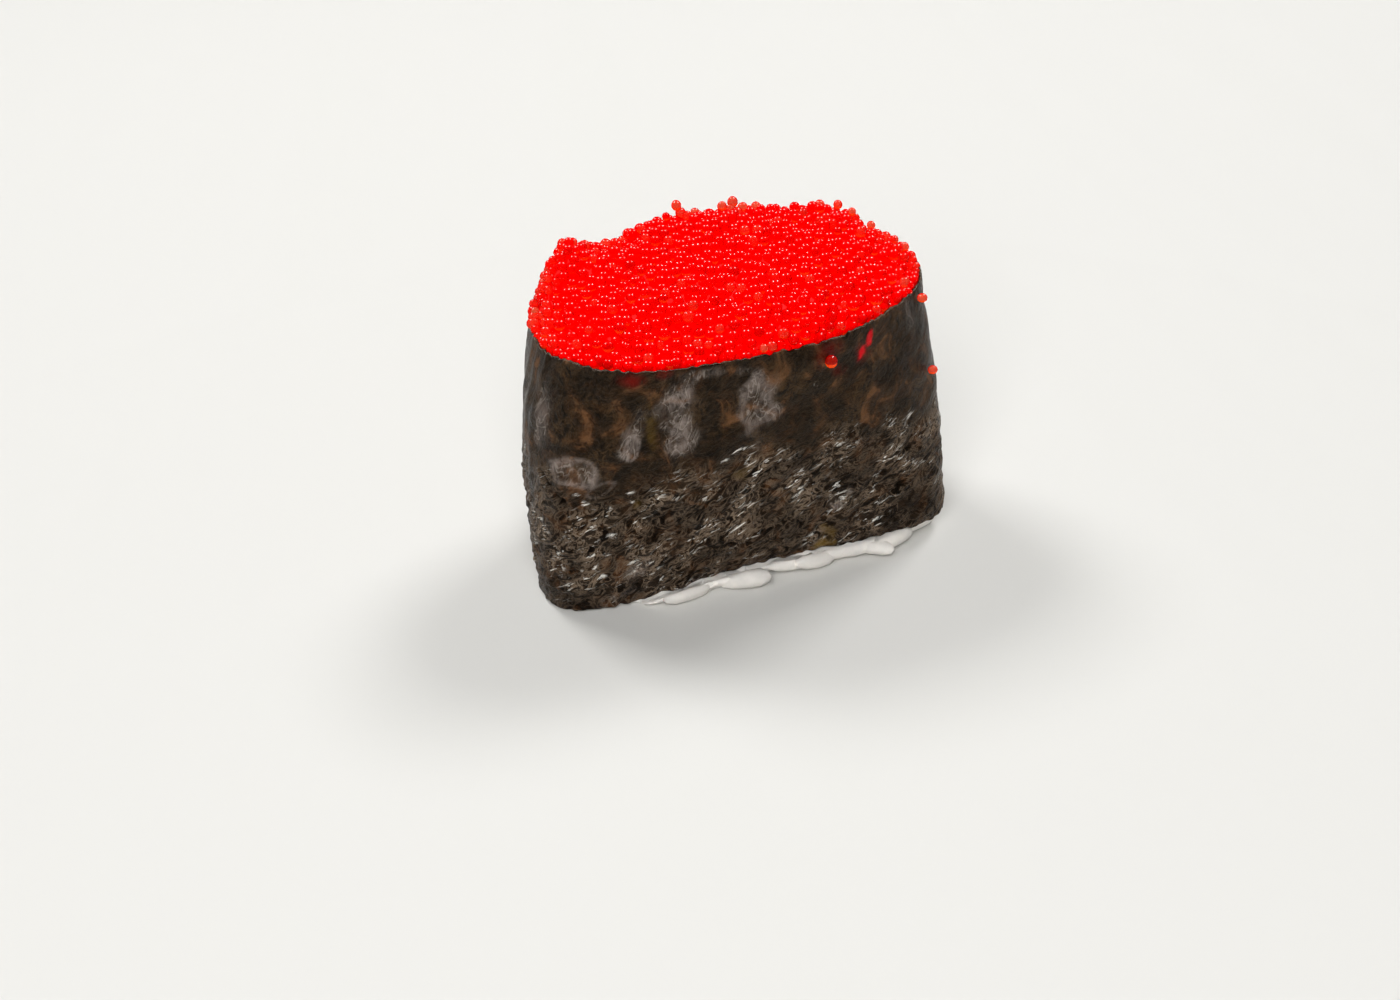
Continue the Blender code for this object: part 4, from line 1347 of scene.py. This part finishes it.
    def tucked(self, points: np.ndarray) -> np.ndarray:
        """Presses points onto the floor and under the band's lower edge where they reach out past its inside.

        Args:
            points: Places of the grains.

        Returns:
            The pressed places.
        """
        loop = self.shape.flat(np.arange(400) / 400, 0.03)
        away = np.sqrt(((points[:, None, :2] - loop[None]) ** 2).sum(axis=2).min(axis=1))
        outward = np.where(inside(points[:, :2], loop), -away, away)
        clear = np.where(points[:, 1] > 0.0, 1.3, 0.5)
        limit = self.shape.foot_edge(points[:, 0]) - 0.12 + 1.4 * np.clip(outward - clear, 0.0, None)
        limit = np.where(outward < -1.1, 50.0, limit)
        height = points[:, 2]
        height = np.where(height > limit, limit - 0.04 * np.tanh(height - limit), height)
        height = np.where(height < 0.3, 0.02 + 0.28 * np.exp((height - 0.3) / 0.28), height)
        return np.column_stack([points[:, :2], np.minimum(height, np.maximum(limit, 0.05))])


def inside(points: np.ndarray, polygon: np.ndarray) -> np.ndarray:
    """Tells which flat points lie inside a closed polygon, by counting crossings.

    Args:
        points: Flat points.
        polygon: Corners in order.

    Returns:
        True for each point inside.
    """
    result = np.zeros(len(points), dtype=bool)
    for (x0, y0), (x1, y1) in zip(polygon, np.roll(polygon, -1, axis=0)):
        if y0 != y1:
            crosses = (y0 > points[:, 1]) != (y1 > points[:, 1])
            result ^= crosses & (points[:, 0] < (x1 - x0) * (points[:, 1] - y0) / (y1 - y0) + x0)
    return result


# Studio


class Reach(Enum):
    """What a light does: light surfaces, or be mirrored in wet ones."""

    MATT = "matt"
    WET = "wet"


@dataclass(frozen=True)
class Studio:
    """A plain pale floor, large soft lights, small lamps and the camera at the photograph's viewing angle."""

    shape: BandShape
    focal: float = 1700.0
    tilt: float = 37.0
    turn: float = 17.07
    roll: float = -3.0
    middle: tuple[float, float] = (721.2, 415.84)
    distance: float = 210.8
    aim_height: float = 16.0
    frame_size: tuple[int, int] = (1400, 1000)
    sensor: float = 36.0
    floor_half: float = 1.2

    def build_camera(self) -> None:
        """Places the camera: the aim point shows at the stated pixel, at the stated distance and angles."""
        phi, theta, rho = (math.radians(v) for v in (self.tilt, self.turn, self.roll))
        view = np.array([[1.0, 0.0, 0.0], [0.0, math.sin(phi), math.cos(phi)],
                         [0.0, math.cos(phi), -math.sin(phi)]])
        turn = np.array([[math.cos(theta), -math.sin(theta), 0.0], [math.sin(theta), math.cos(theta), 0.0],
                         [0.0, 0.0, 1.0]])
        roll = np.array([[math.cos(rho), math.sin(rho), 0.0], [-math.sin(rho), math.cos(rho), 0.0],
                         [0.0, 0.0, 1.0]])
        axes = roll @ view @ turn
        width, height = self.frame_size
        away = np.array([(self.middle[0] - width / 2.0) / self.focal * self.distance,
                         -(self.middle[1] - height / 2.0) / self.focal * self.distance, self.distance])
        place = np.array([*self.shape.stand, self.aim_height]) - axes.T @ away
        camera_data = bpy.data.cameras.new("photo_camera")
        camera_data.sensor_width = self.sensor
        camera_data.lens = self.focal / width * self.sensor
        camera_data.clip_start = 0.01
        own_axes = np.stack([axes[0], axes[1], -axes[2]], axis=1)
        bpy.context.scene.camera = add_object("photo_camera", camera_data, own_axes, place * MM)

    def build_light(self, name: str, place: tuple[float, float, float], size: float, power: float,
                    reach: Reach) -> None:
        """Adds a square light that faces the piece.

        Args:
            name: Name of the light.
            place: Its place in metres.
            size: Its side in metres.
            power: Its power in watts.
            reach: Whether it lights surfaces or is mirrored in wet ones.
        """
        data = bpy.data.lights.new(name, "AREA")
        data.size = size
        data.energy = power
        aim = np.array([0.0, 0.0, 0.02]) - np.array(place)
        aim /= np.linalg.norm(aim)
        side = np.cross(aim, [0.0, 0.0, 1.0])
        side /= np.linalg.norm(side)
        light = add_object(name, data, np.stack([side, np.cross(side, aim), -aim], axis=1), np.array(place))
        light.visible_glossy = reach is Reach.WET
        light.visible_diffuse = reach is Reach.MATT

    def build(self) -> None:
        """Builds the floor, the lights, the surroundings and the camera."""
        half = self.floor_half
        mesh = bpy.data.meshes.new("floor")
        mesh.from_pydata([(-half, -half, 0.0), (half, -half, 0.0), (half, half, 0.0), (-half, half, 0.0)], [],
                         [(0, 1, 2, 3)])
        material, tree, shader = new_material("studio_floor_matt_paint")
        set_inputs(tree, shader, {
            "Base Color": linear("dbdad6"), "Roughness": 0.8, "Specular IOR Level": 0.0,
        })
        mesh.materials.append(material)
        floor = add_object("floor", mesh)
        self.build_light("front_light", (-0.20, -0.42, 0.48), 0.45, 3.4, Reach.MATT)
        self.build_light("back_right_light", (0.37, 0.21, 0.52), 0.20, 2.2, Reach.MATT)
        self.build_light("back_left_light", (-0.19, 0.38, 0.52), 0.20, 2.2, Reach.MATT)
        self.build_light("right_lamp", (0.40, 0.20, 0.52), 0.04, 10.0, Reach.WET)
        self.build_light("left_lamp", (-0.22, 0.39, 0.52), 0.04, 10.0, Reach.WET)
        world = bpy.data.worlds.new("studio_air")
        world.use_nodes = True
        background = world.node_tree.nodes["Background"]
        set_inputs(world.node_tree, background, {"Color": linear("f4f4f6"), "Strength": 0.05})
        bpy.context.scene.world = world
        view = bpy.context.scene.view_settings
        view.view_transform = "Standard"
        view.look = "None"
        self.build_camera()


def main() -> None:
    """Builds the studio and the pieces in order."""
    logging.basicConfig(level=logging.INFO, format="%(name)s %(message)s")
    shape = BandShape()
    Studio(shape).build()
    rice = RiceBlock(shape, CookedRice())
    rice_material = rice.finish.make()
    rice.build_core(rice_material)
    rice.build_grains(rice_material)
    NoriBand(shape, ToastedNori()).build()
    # The sunken eggs get a stronger painted glow, so gaps between the eggs show red instead of shade.
    heap = RoeHeap(shape, FishRoe(), FishRoe(painted_glow_strength=0.48, name="roe_sunken_eggs"), RoeJuice())
    heap.build_core()
    heap.build_eggs()


if __name__ == "__main__":
    main()
